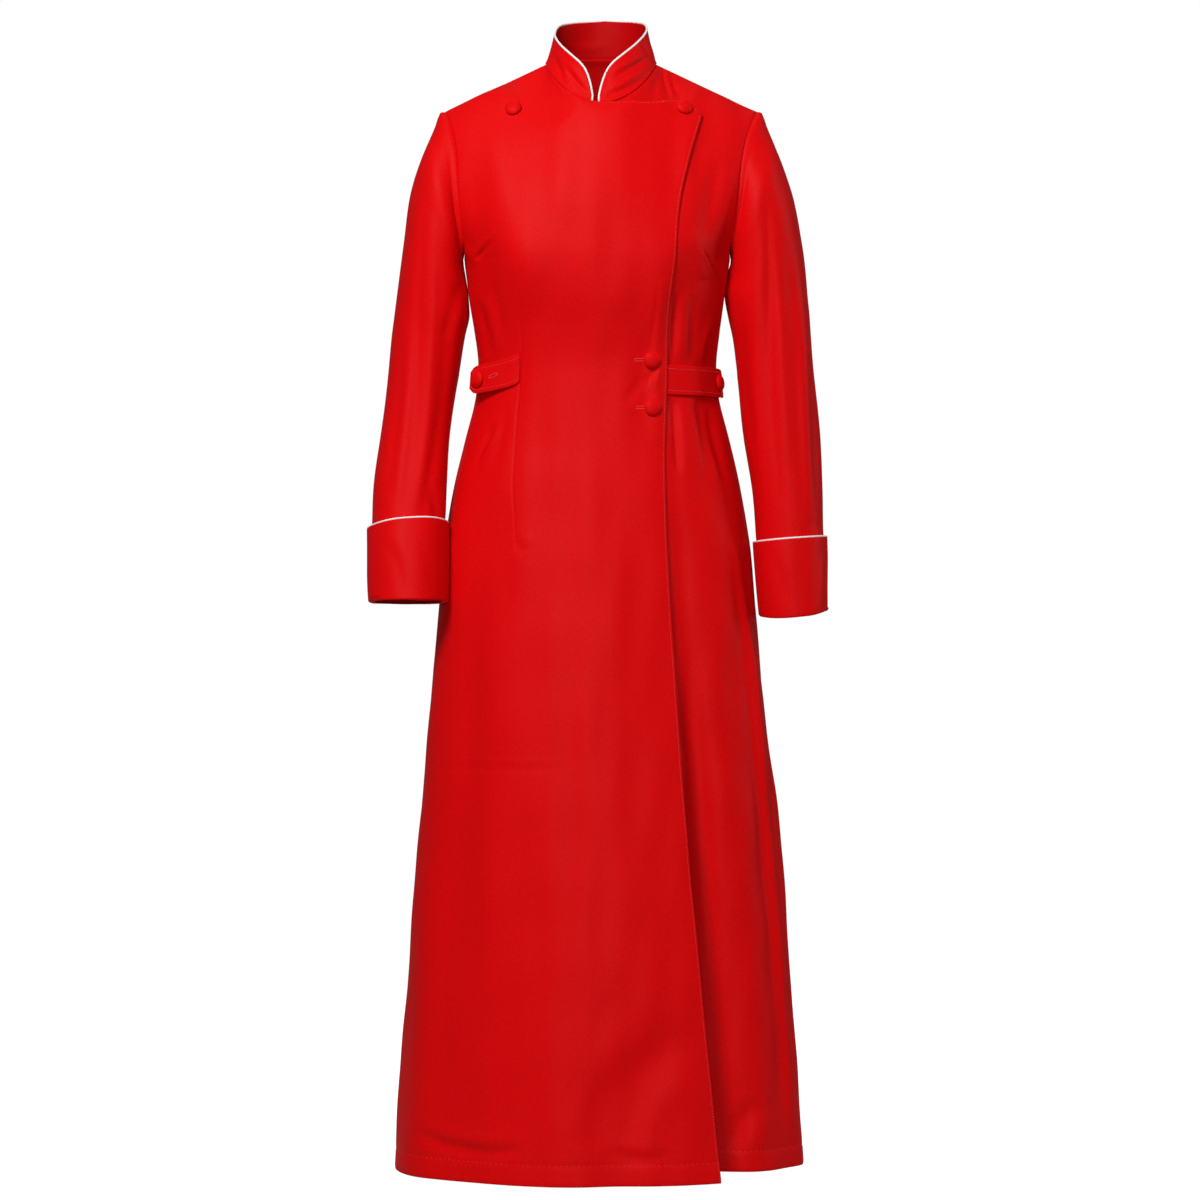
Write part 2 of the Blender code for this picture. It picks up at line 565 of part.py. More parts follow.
def sleeve_points(side, rings):
    """The outer face of a sleeve, from the armhole down to the cuff's fold, and its normals."""
    count = 2 * YOKE_ROWS
    turns = np.arange(count) * 2 * math.pi / count
    loop, leave, seam = armhole_loop(side)
    away = ramp(math.radians(10), math.radians(75), np.minimum(turns, 2 * math.pi - turns))
    aside = np.array([side * 1.0, 0.0, 0.0])
    out = leave * away[:, None] + aside * (1 - away[:, None])
    out /= np.linalg.norm(out, axis=1, keepdims=True)
    first = loop + out * SLEEVE_GAP
    second = first + out * (0.0010 + 0.0050 * away[:, None])
    second[:, 2] -= 0.0020 * (1 - away)
    below = loft_rows([second] + [ring_points(ring, side, turns) for ring in rings], SLEEVE_ROWS)
    points = np.concatenate([first[None], below])
    normals = grid_normals(points, True, side > 0)
    normals[0] = normals[0] * (1 - away[:, None]) + seam * away[:, None]
    return points, normals / np.linalg.norm(normals, axis=2, keepdims=True)


def add_cuff(name, side, rings, sleeve_end, finish, collection):
    """A turned-back cuff: an outer wall whose foot turns in under the sleeve's end."""
    count = 24
    turns = np.arange(count) * 2 * math.pi / count
    top, fold = (ring_points(ring, side, turns) for ring in rings)
    inside = ring_points(sleeve_end, side, turns)
    middle = inside.mean(axis=0)
    inward = middle - inside
    inward /= np.linalg.norm(inward, axis=1, keepdims=True)
    foot = inside + inward * CLOTH
    foot[:, 2] = fold[:, 2]
    rows = [top, top + (fold - top) / 3, top + (fold - top) * 2 / 3, fold, foot]
    add_wall(name, np.array(rows), CUFF_WALL, finish, collection, closed=True, flip=side > 0)
    return top


def add_piping(name, path, closed, finish, collection):
    """A thin round cord sewn along an edge."""
    data = bpy.data.curves.new(name, "CURVE")
    data.dimensions = "3D"
    data.bevel_depth = PIPING / 2
    data.bevel_resolution = 2
    data.use_fill_caps = True
    spline = data.splines.new("POLY")
    spline.points.add(len(path) - 1)
    for place, point in zip(spline.points, path):
        place.co = (*point, 1.0)
    spline.use_cyclic_u = closed
    data.materials.append(finish)
    made = bpy.data.objects.new(name, data)
    collection.objects.link(made)
    return made


def collar_point(turn, share):
    """A point of the collar's outer face: angle round the neck, share of the height there."""
    across, along = np.sin(np.radians(turn)), np.cos(np.radians(turn))
    front = along > 0
    size = np.abs(along)
    base_y = np.where(front, -NECK_FRONT, NECK_BACK) * size
    rim_y = np.where(front, -RIM_FRONT, RIM_BACK) * size + 0.002
    base_z = NECK_POINT_Z + np.where(front, (NECK_FRONT_Z - NECK_POINT_Z) * size ** 1.6,
                                     (NECK_BACK_Z - NECK_POINT_Z) * size ** 1.2)
    height = smooth(COLLAR_RIM, "z", np.minimum(turn - COLLAR_START, COLLAR_STOP - turn)) - base_z
    lean = share * np.clip(height / COLLAR_LEAN, 0, 1)
    x = (NECK_WIDTH + (RIM_WIDTH - NECK_WIDTH) * lean) * across + LEAN
    y = base_y + (rim_y - base_y) * lean
    return np.stack([x, y, base_z + COLLAR_GAP + height * share], axis=-1)


def collar_turns():
    """Angles round the neck, closest together at the rounded front ends."""
    left = np.concatenate([[COLLAR_START, 0.3, 2.2], FRONT_NECK[1:-1], BACK_NECK])
    right = np.concatenate([[360 - COLLAR_STOP, 11.7, 14.0, 17.0], FRONT_NECK[4:-1], BACK_NECK])
    return np.concatenate([left, 360 - right[-2::-1]])


def add_collar(finish, trim, collection):
    """The stand collar and the piping round its free edge."""
    turns = collar_turns()
    rows = [collar_point(turns, share) for share in (0.0, 0.35, 0.7, 1.0)]
    add_wall("collar", np.array(rows), COLLAR_WALL, finish, collection)
    edge = np.concatenate([rows[0][:1], rows[-1], rows[0][-1:]])
    along = np.gradient(edge, axis=0)
    middle = np.array([LEAN, -0.005, 0.0])
    facing = edge - middle
    facing[:, 2] = 0
    out = np.cross(facing, along)
    out /= np.linalg.norm(out, axis=1, keepdims=True)
    inward = -facing / np.linalg.norm(facing, axis=1, keepdims=True)
    out *= np.where(out[len(out) // 2, 2] > 0, 1, -1)
    path = edge + out * (PIPING / 2 + SEAM_GAP) + inward * COLLAR_WALL / 2
    add_piping("collar_piping", path, False, trim, collection)


def tab_face(tab, angle, level):
    """The surface of a waist tab, which stands off the waist towards its free end."""
    share = np.clip((np.abs(angle) - tab.sewn_angle) / (tab.free_angle - tab.sewn_angle), 0, 1.2)
    under = lapped(angle, level) if tab.side < 0 else cloth(angle, level)
    stand = TAB_GAP + TAB_WALL + tab.stand * share ** 1.5
    return under + outward(angle, level) * stand[..., None]


def tab_points(tab):
    """The outer face of a waist tab, which tapers to its free end."""
    along = np.linspace(0, 1, 12)
    angle = tab.side * (tab.sewn_angle + (tab.free_angle - tab.sewn_angle) * along)
    middle = tab.sewn_z + (tab.free_z - tab.sewn_z) * np.sqrt(along)
    half = TAB_WIDTH / 2 * np.array([1.0] * 9 + [0.99, 0.90, 0.48])
    rows = []
    for share in (-1.0, -0.33, 0.33, 1.0):
        rows.append(tab_face(tab, angle, middle + half * share - UNDERARM))
    return np.array(rows)


def add_button(name, surface, angle, level, height, finish, collection):
    """A covered button that lies on a surface at an angle and level."""
    mesh = bpy.data.meshes.new(name)
    profile = [(BUTTON_RADIUS * p.radius, 0.0, BUTTON_HEIGHT * p.height) for p in BUTTON]
    mesh.from_pydata(profile, [(k, k + 1) for k in range(len(profile) - 1)], [])
    mesh.materials.append(finish)
    made = bpy.data.objects.new(name, mesh)
    collection.objects.link(made)
    turned = made.modifiers.new("turned", "SCREW")
    turned.angle = 2 * math.pi
    turned.steps = BUTTON_STEPS
    turned.render_steps = BUTTON_STEPS
    turned.use_merge_vertices = True
    turned.merge_threshold = TINY
    turned.use_smooth_shade = True
    turn, step = 3.0, 0.010 if level < 0 else 0.05
    around = surface(angle + turn, level) - surface(angle - turn, level)
    normal = np.cross(around, surface(angle, level + step) - surface(angle, level - step))
    normal /= np.linalg.norm(normal)
    seat = surface(angle, level) + normal * height
    side = np.cross([0.0, 0.0, 1.0], normal)
    side /= np.linalg.norm(side)
    axes = np.stack([side, np.cross(normal, side), normal, seat], axis=1)
    made.matrix_world = Matrix([*axes.tolist(), [0.0, 0.0, 0.0, 1.0]])
    return made


def build():
    """Build the whole robe."""
    for thing in list(bpy.data.objects):
        bpy.data.objects.remove(thing, do_unlink=True)
    robe = bpy.data.collections.new("cassock")
    bpy.context.scene.collection.children.link(robe)
    red = material("red_cloth", RED, 0.62)
    deep = material("red_cloth_under", DEEP_RED, 0.62)
    white = material("white_piping", WHITE, 0.55)

    add_cloth("right_front", *front_points(-1), red, robe)
    add_cloth("left_front", *front_points(1), deep, robe, flip=True)
    add_cloth("back", *back_points(), red, robe)
    add_collar(red, white, robe)
    for word, side, rings, cuff in (("right", -1, RIGHT_SLEEVE, RIGHT_CUFF),
                                    ("left", 1, LEFT_SLEEVE, LEFT_CUFF)):
        add_cloth(f"{word}_sleeve", *sleeve_points(side, rings), red, robe, closed=True,
                  flip=side > 0)
        top = add_cuff(f"{word}_cuff", side, cuff, rings[-1], red, robe)
        inward = top.mean(axis=0) - top
        inward /= np.linalg.norm(inward, axis=1, keepdims=True)
        path = top + inward * CUFF_WALL / 2
        path[:, 2] += PIPING / 2 + SEAM_GAP
        add_piping(f"{word}_cuff_piping", path, True, white, robe)
    for tab in TABS:
        add_wall(f"{tab.name}_waist_tab", tab_points(tab), TAB_WALL, red, robe,
                 flip=tab.side < 0)
        angle = np.array(tab.side * float(tab.button_angle))
        share = (tab.button_angle - tab.sewn_angle) / (tab.free_angle - tab.sewn_angle)
        level = np.array(tab.sewn_z + (tab.free_z - tab.sewn_z) * math.sqrt(share) - UNDERARM)
        add_button(f"{tab.name}_tab_button", partial(tab_face, tab), angle, level,
                   TAB_BUTTON_GAP, red, robe)
    for number, button in enumerate(FRONT_BUTTONS, 1):
        level = np.array(0.5 if button.z > UNDERARM else button.z - UNDERARM)
        for _ in range(8):
            angle = angle_at(np.array(button.x), level)
            level = level_at(angle, np.array(button.z))
        add_button(f"front_button_{number}", lapped, angle, level, button.gap, red, robe)


build()
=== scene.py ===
"""A red cassock with white piping, filled out as it is worn, dressed in finished cloth.

Metres, +Z up. +X is the wearer's left, the front faces -Y. The origin is the middle of the
neck opening, level with the neck end of the shoulder seams. The robe's outer form is one
surface, RobeForm.cloth(angle, level): the angle runs round the body from 0 at the centre
front, by +90 degrees at the wearer's left side, to 180 at the centre back. The level is in
metres below the underarm where it is negative, and from 0 to 1 is the share of the way from
the underarm up to the shoulder seam and the neck.
"""
import logging
import math
from dataclasses import dataclass, field
from enum import Enum
from typing import NamedTuple, Sequence

import bpy
import numpy as np
from mathutils import Matrix, Vector


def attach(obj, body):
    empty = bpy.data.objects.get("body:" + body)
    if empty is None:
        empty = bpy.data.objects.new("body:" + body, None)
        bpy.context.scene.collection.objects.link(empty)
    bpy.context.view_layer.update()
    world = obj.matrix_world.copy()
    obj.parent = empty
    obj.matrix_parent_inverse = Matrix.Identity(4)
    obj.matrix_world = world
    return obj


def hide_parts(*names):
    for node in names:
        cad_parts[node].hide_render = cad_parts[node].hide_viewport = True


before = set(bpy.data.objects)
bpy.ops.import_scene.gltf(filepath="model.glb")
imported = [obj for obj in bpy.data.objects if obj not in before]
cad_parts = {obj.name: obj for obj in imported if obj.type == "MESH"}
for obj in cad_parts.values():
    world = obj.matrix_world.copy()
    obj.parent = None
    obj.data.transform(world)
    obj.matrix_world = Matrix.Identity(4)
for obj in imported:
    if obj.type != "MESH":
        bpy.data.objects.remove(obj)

Array = np.ndarray
Material, Node, Tree = bpy.types.Material, bpy.types.Node, bpy.types.NodeTree
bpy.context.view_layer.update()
LOG = logging.getLogger("cassock")


# ---------------------------------------------------------------- the pattern's tables
class Section(NamedTuple):
    """A level section of the body: how wide, how deep, and how square it is."""

    z: float
    half_width: float
    front: float
    back: float
    front_square: float
    back_square: float


class Yoke(NamedTuple):
    """Half-width of the upper body at a share of the way up from the underarm."""

    level: float
    half_width: float


class Armhole(NamedTuple):
    """How far the armhole cuts in from the side, in degrees."""

    level: float
    front: float
    back: float


class LapEdge(NamedTuple):
    """Distance of the free front edge from the centre front."""

    z: float
    x: float


class LapTop(NamedTuple):
    """Height of the lap's top edge beyond the neck."""

    x: float
    z: float


class Fold(NamedTuple):
    """A long soft fold: where it is at the top and the hem, and where it grows."""

    top_angle: float
    hem_angle: float
    start: float
    full: float
    depth: float
    width: float


class Fullness(NamedTuple):
    """A soft swelling of the cloth, such as over the bust."""

    angle: float
    z: float
    depth: float
    spread: float
    rise: float


class Ring(NamedTuple):
    """A slanted ring of a sleeve or cuff: inner and outer point, depth and place."""

    in_x: float
    in_z: float
    out_x: float
    out_z: float
    half_depth: float
    y: float
    rise: float


class Tab(NamedTuple):
    """Where a waist tab runs round the body."""

    name: str
    side: int
    sewn_angle: float
    free_angle: float
    sewn_z: float
    free_z: float
    button_angle: float
    stand: float


class CollarRim(NamedTuple):
    """A point of the collar's top edge: degrees from its nearer end, and height."""

    from_end: float
    z: float


class FrontButton(NamedTuple):
    """Where a front button is sewn."""

    x: float
    z: float


class Profile(NamedTuple):
    """A point of a button's half section, as shares of radius and height."""

    radius: float
    height: float


UNDERARM = -0.2425
HEM = -1.372
SHOULDER_WIDTH = 0.194
NECK_FRONT_Z = -0.0504
BODY = (
    Section(-1.372, 0.252, 0.202, 0.202, 0.96, 0.96),
    Section(-1.165, 0.238, 0.187, 0.188, 0.95, 0.95),
    Section(-0.98, 0.224, 0.168, 0.172, 0.93, 0.93),
    Section(-0.78, 0.207, 0.146, 0.154, 0.9, 0.92),
    Section(-0.68, 0.1985, 0.134, 0.144, 0.88, 0.9),
    Section(-0.59, 0.19, 0.122, 0.133, 0.86, 0.88),
    Section(-0.515, 0.177, 0.112, 0.117, 0.85, 0.86),
    Section(-0.466, 0.165, 0.105, 0.103, 0.84, 0.84),
    Section(-0.412, 0.1515, 0.1, 0.088, 0.83, 0.82),
    Section(-0.371, 0.1485, 0.1, 0.083, 0.82, 0.8),
    Section(-0.33, 0.153, 0.106, 0.087, 0.81, 0.8),
    Section(-0.29, 0.159, 0.114, 0.096, 0.8, 0.8),
    Section(UNDERARM, 0.1655, 0.118, 0.105, 0.8, 0.8),
    Section(-0.2, 0.17, 0.116, 0.109, 0.8, 0.8),
)
YOKE = (Yoke(-0.2, 0.159), Yoke(0.0, 0.1655), Yoke(0.1, 0.1735), Yoke(0.25, 0.188),
        Yoke(0.4, 0.1975), Yoke(0.6, 0.2), Yoke(0.8, 0.1985), Yoke(1.0, SHOULDER_WIDTH))
ARMHOLE = (Armhole(0.0, 0.0, 0.0), Armhole(0.02, 6.7, 6.5), Armhole(0.06, 12.5, 12.0),
           Armhole(0.15, 19.0, 18.0), Armhole(0.3, 25.0, 24.0), Armhole(0.45, 27.5, 26.0),
           Armhole(0.6, 26.0, 25.0), Armhole(0.75, 21.0, 20.0), Armhole(0.9, 11.0, 11.0),
           Armhole(1.0, 0.0, 0.0))
LAP_EDGE = (LapEdge(-1.372, 0.149), LapEdge(-1.31, 0.1428), LapEdge(-1.15, 0.127),
            LapEdge(-0.955, 0.1092), LapEdge(-0.75, 0.0954), LapEdge(-0.567, 0.0848),
            LapEdge(-0.4, 0.0843), LapEdge(-0.276, 0.0894), LapEdge(-0.207, 0.0955),
            LapEdge(-0.125, 0.1119), LapEdge(-0.0665, 0.129))
LAP_TOP = (LapTop(0.0, NECK_FRONT_Z), LapTop(0.035, -0.0508), LapTop(0.07, -0.051),
           LapTop(0.1, -0.0505), LapTop(0.118, -0.0575), LapTop(0.129, -0.0665))
FOLDS = (
    Fold(60, 78, -0.56, -1.0, 0.01, 9),
    Fold(90, 90, -0.7, -1.2, -0.006, 8),
    Fold(112, 116, -0.62, -1.25, 0.011, 11),
    Fold(134, 138, -0.66, -1.25, -0.011, 10),
    Fold(158, 157, -0.6, -1.2, 0.012, 11),
    Fold(180, 181, -0.62, -1.25, -0.009, 10),
    Fold(203, 204, -0.64, -1.2, 0.012, 11),
    Fold(226, 223, -0.6, -1.25, -0.01, 10),
    Fold(248, 244, -0.66, -1.25, 0.01, 10),
    Fold(-58, -64, -0.75, -1.25, 0.005, 12),
    Fold(-34, -38, -0.9, -1.3, -0.005, 11),
    Fold(-6, -12, -0.85, -1.3, 0.004, 13),
    Fold(30, 6, -1.1, -1.34, -0.008, 9),
)
RECESS = Fold(31, 41, -0.44, -1.34, -0.045, 9)
FULLNESS = (Fullness(-33, -0.24, 0.008, 16, 0.05), Fullness(33, -0.24, 0.008, 16, 0.05),
            Fullness(148, -0.12, 0.004, 22, 0.06), Fullness(212, -0.12, 0.004, 22, 0.06))
RIGHT_SLEEVE = (
    Ring(0.1665, -0.248, 0.211, -0.0925, 0.064, 0.001, 0.0),
    Ring(0.1656, -0.253, 0.231, -0.149, 0.066, 0.002, 0.0),
    Ring(0.1642, -0.261, 0.242, -0.219, 0.066, 0.003, 0.0),
    Ring(0.1602, -0.289, 0.2508, -0.289, 0.063, 0.003, 0.0),
    Ring(0.1592, -0.311, 0.2532, -0.311, 0.0615, 0.0025, 0.0005),
    Ring(0.165, -0.333, 0.2558, -0.333, 0.06, 0.002, 0.001),
    Ring(0.172, -0.371, 0.259, -0.371, 0.057, -0.002, 0.003),
    Ring(0.1845, -0.466, 0.269, -0.466, 0.05, -0.018, 0.006),
    Ring(0.1875, -0.53, 0.275, -0.53, 0.046, -0.035, 0.008),
    Ring(0.1885, -0.571, 0.276, -0.571, 0.0445, -0.046, 0.007),
    Ring(0.1885, -0.664, 0.2775, -0.6645, 0.0445, -0.07, 0.003),
)
LEFT_SLEEVE = (
    Ring(0.1665, -0.249, 0.224, -0.0985, 0.064, 0.001, 0.0),
    Ring(0.1656, -0.255, 0.2425, -0.149, 0.066, 0.002, 0.0),
    Ring(0.1645, -0.265, 0.255, -0.22, 0.066, 0.003, 0.0),
    Ring(0.1608, -0.29, 0.2625, -0.287, 0.063, 0.003, 0.0),
    Ring(0.165, -0.312, 0.2656, -0.31, 0.0615, 0.0025, 0.0),
    Ring(0.1705, -0.335, 0.268, -0.335, 0.06, 0.002, 0.0),
    Ring(0.176, -0.374, 0.271, -0.371, 0.057, 0.0, 0.0),
    Ring(0.1855, -0.465, 0.2805, -0.466, 0.05, -0.008, 0.001),
    Ring(0.1945, -0.5325, 0.283, -0.53, 0.046, -0.015, 0.001),
    Ring(0.1984, -0.5875, 0.283, -0.5825, 0.0445, -0.019, 0.001),
    Ring(0.2048, -0.681, 0.2872, -0.674, 0.0435, -0.025, -0.005),
)
RIGHT_CUFF = (Ring(0.185, -0.571, 0.2825, -0.579, 0.0505, -0.046, 0.01),
              Ring(0.185, -0.667, 0.281, -0.6675, 0.0485, -0.07, 0.003))
LEFT_CUFF = (Ring(0.1942, -0.594, 0.2893, -0.5865, 0.0505, -0.019, 0.001),
             Ring(0.2014, -0.6849, 0.2905, -0.6769, 0.0475, -0.025, -0.0055))
COLLAR_RIM = (CollarRim(0, -0.043), CollarRim(1.5, -0.0345), CollarRim(3.5, -0.0265),
              CollarRim(6, -0.019), CollarRim(9, -0.012), CollarRim(15, -0.0035),
              CollarRim(27, 0.007), CollarRim(45, 0.02), CollarRim(65, 0.0335),
              CollarRim(85, 0.045), CollarRim(105, 0.0545), CollarRim(130, 0.0605),
              CollarRim(176, 0.0655))
TABS = (Tab("right", -1, 39.5, 75, -0.3775, -0.3935, 68.5, 0.013),
        Tab("left", 1, 31.5, 97, -0.393, -0.396, 78, 0.003))
FRONT_BUTTONS = (FrontButton(-0.103, -0.0575), FrontButton(0.106, -0.059),
                 FrontButton(0.066, -0.37), FrontButton(0.067, -0.429))
BUTTON = (Profile(0.0, 1.0), Profile(0.4, 0.95), Profile(0.72, 0.78), Profile(0.93, 0.5),
          Profile(1.0, 0.26), Profile(0.93, 0.06), Profile(0.8, 0.0))


# How a crease ends, where the lip beside it is, and how it fades as the cloth turns away
STEPS_IN_A_CREASE = 8
TAPER = 0.6
LIP_PLACE, LIP_SPREAD = 1.9, 1.3
FADE_START, FADE_RATE = 0.35, 2.5


class Face(Enum):
    """Which way the cloth that a crease is in faces."""

    FRONT = -1.0
    BACK = 1.0


@dataclass(frozen=True)
class Crease:
    """A soft trough or ridge, placed in the front or the back view.

    Attributes:
        path: Points across and up, in metres, that the crease runs through.
        depth: How far it moves the cloth outward, inward where negative.
        width: Half its spread.
        lip: Share of the depth by which the cloth stands the other way beside it, on the
            left of the path where positive and on the right where negative.
        face: Which side of the robe it is on.
    """

    path: tuple[tuple[float, float], ...]
    depth: float
    width: float
    lip: float = 0.0
    face: Face = Face.FRONT

    def line(self) -> Array:
        """The path as a smooth line of many points.

        Returns:
            Points across and up.
        """
        rough = np.array(self.path)
        places = np.arange(len(rough), dtype=float)
        fine = finer(places, STEPS_IN_A_CREASE)
        return np.stack([smooth_curve(places, rough[:, k], fine) for k in (0, 1)], axis=1)

    def relief(self, points: Array, facing: Array) -> Array:
        """How far the crease moves each point outward.

        Args:
            points: Places on the cloth.
            facing: The Y part of the cloth's outward direction there.

        Returns:
            The distance outward for each point.
        """
        line = self.line()
        flat = points[..., [0, 2]]
        nearest = np.ones(flat.shape[:-1])
        side = np.zeros_like(nearest)
        share = np.zeros_like(nearest)
        count = len(line) - 1
        for k in range(count):
            start, step = line[k], line[k + 1] - line[k]
            away = flat - start
            along = np.clip(away @ step / (step @ step), 0.0, 1.0)
            gap = away - along[..., None] * step
            length = np.hypot(gap[..., 0], gap[..., 1])
            closer = length < nearest
            nearest = np.where(closer, length, nearest)
            left = step[0] * gap[..., 1] - step[1] * gap[..., 0]
            side = np.where(closer, np.sign(left), side)
            share = np.where(closer, (k + along) / count, share)
        taper = np.sin(math.pi * np.clip(share, 0.0, 1.0)) ** TAPER
        signed = nearest * side
        beside = bump(self.lip, LIP_SPREAD * self.width,
                      signed - np.sign(self.lip) * LIP_PLACE * self.width)
        shape = bump(1.0, self.width, signed) - np.abs(beside)
        seen = np.clip(FADE_START + FADE_RATE * facing * self.face.value, 0.0, 1.0)
        return self.depth * taper * shape * seen


# ---------------------------------------------------------------- small sums
def smooth_curve(places: Array, values: Array, at: Array) -> Array:
    """Values of a smooth curve through some points.

    Args:
        places: Where the points are, rising.
        values: The curve's value at each, a number or a ring of points.
        at: Where to read the curve.

    Returns:
        The values there, with the end values outside the range.
    """
    slopes = np.gradient(values, places, axis=0)
    at = np.clip(at, places[0], places[-1])
    k = np.clip(np.searchsorted(places, at, side="right") - 1, 0, len(places) - 2)
    wide = at.shape + (1,) * (values.ndim - 1)
    step = (places[k + 1] - places[k]).reshape(wide)
    s = (at - places[k]).reshape(wide) / step
    return (values[k] * (1 + 2 * s) * (1 - s) ** 2 + values[k + 1] * s * s * (3 - 2 * s)
            + step * (slopes[k] * s * (1 - s) ** 2 - slopes[k + 1] * s * s * (1 - s)))


def smooth(rows: Sequence[NamedTuple], column: str, at: Array) -> Array:
    """A table's column at a place in its first column, as a smooth curve.

    Args:
        rows: The table.
        column: The name of the column to read.
        at: Places in the table's first column.

    Returns:
        The column's values there.
    """
    places = np.array([row[0] for row in rows])
    values = np.array([getattr(row, column) for row in rows])
    return smooth_curve(places, values, at)


def ramp(start: float, full: float, at: Array) -> Array:
    """0 before start, 1 past full, with a soft rise between."""
    s = np.clip((at - start) / (full - start), 0.0, 1.0)
    return s * s * (3 - 2 * s)


def bump(height: float | Array, reach: float, gap: Array) -> Array:
    """A soft bump of a height, which fades over its reach to both sides."""
    return height * np.exp(-(gap / reach) ** 2)


def turn_between(angle: Array, centre: Array) -> Array:
    """The angle from centre, the short way round, in degrees."""
    return (angle - centre + 180.0) % 360.0 - 180.0


def sideways(angle: Array, distance: Array) -> Array:
    """Steps of a distance away from the body's middle, at angles round it."""
    turn = np.radians(angle)
    return np.stack([distance * np.sin(turn), -distance * np.cos(turn), 0 * distance], axis=-1)


def unit(vectors: Array) -> Array:
    """Vectors at a length of one."""
    return vectors / np.maximum(np.linalg.norm(vectors, axis=-1, keepdims=True), 1e-12)


def finer(places: Array, parts: int) -> Array:
    """Each step of a list of places divided into equal parts."""
    at = np.linspace(0, len(places) - 1, (len(places) - 1) * parts + 1)
    return np.interp(at, np.arange(len(places)), places)


def distance_along(points: Array, axis: int) -> Array:
    """Distance along one axis of a grid of points, from its first point.

    Args:
        points: The grid.
        axis: 0 along its columns, 1 along its rows.

    Returns:
        A distance for each point.
    """
    steps = np.linalg.norm(np.diff(points, axis=axis), axis=-1)
    start = np.zeros_like(np.take(steps, [0], axis=axis))
    return np.concatenate([start, np.cumsum(steps, axis=axis)], axis=axis)


def read_along(at: float | Array, along: Array, rows: Array) -> Array:
    """Rows of numbers, read at places between them.

    Args:
        at: One place or more.
        along: Where each row is, rising.
        rows: The rows.

    Returns:
        A row of numbers for each place.
    """
    return np.stack([np.interp(at, along, column) for column in rows.T], axis=-1)


def grid_normals(points: Array, closed: bool = False, flip: bool = False) -> Array:
    """Unit normals of a grid of points.

    Args:
        points: Rows and columns of points.
        closed: Whether the columns run all round.
        flip: Whether the normals point the other way.

    Returns:
        A normal for each point.
    """
    if closed:
        around = np.roll(points, -1, axis=1) - np.roll(points, 1, axis=1)
    else:
        around = np.gradient(points, axis=1)
    return unit(np.cross(around, np.gradient(points, axis=0)) * (-1.0 if flip else 1.0))


# ---------------------------------------------------------------- the robe's form
EASE_STEPS, EASE_TAIL = 41, 1.7     # how finely, and how far out, the top edge is evened
SLOPE_STEP = 0.01                   # height over which the body's slope is measured
SEARCH_STEPS = 22                   # halvings of a level until it is close enough
EDGE_ROUNDS = 12                    # rounds until the free edge's angle settles
NEAR_THE_EDGE = 34.0                # degrees from the centre front that they start from


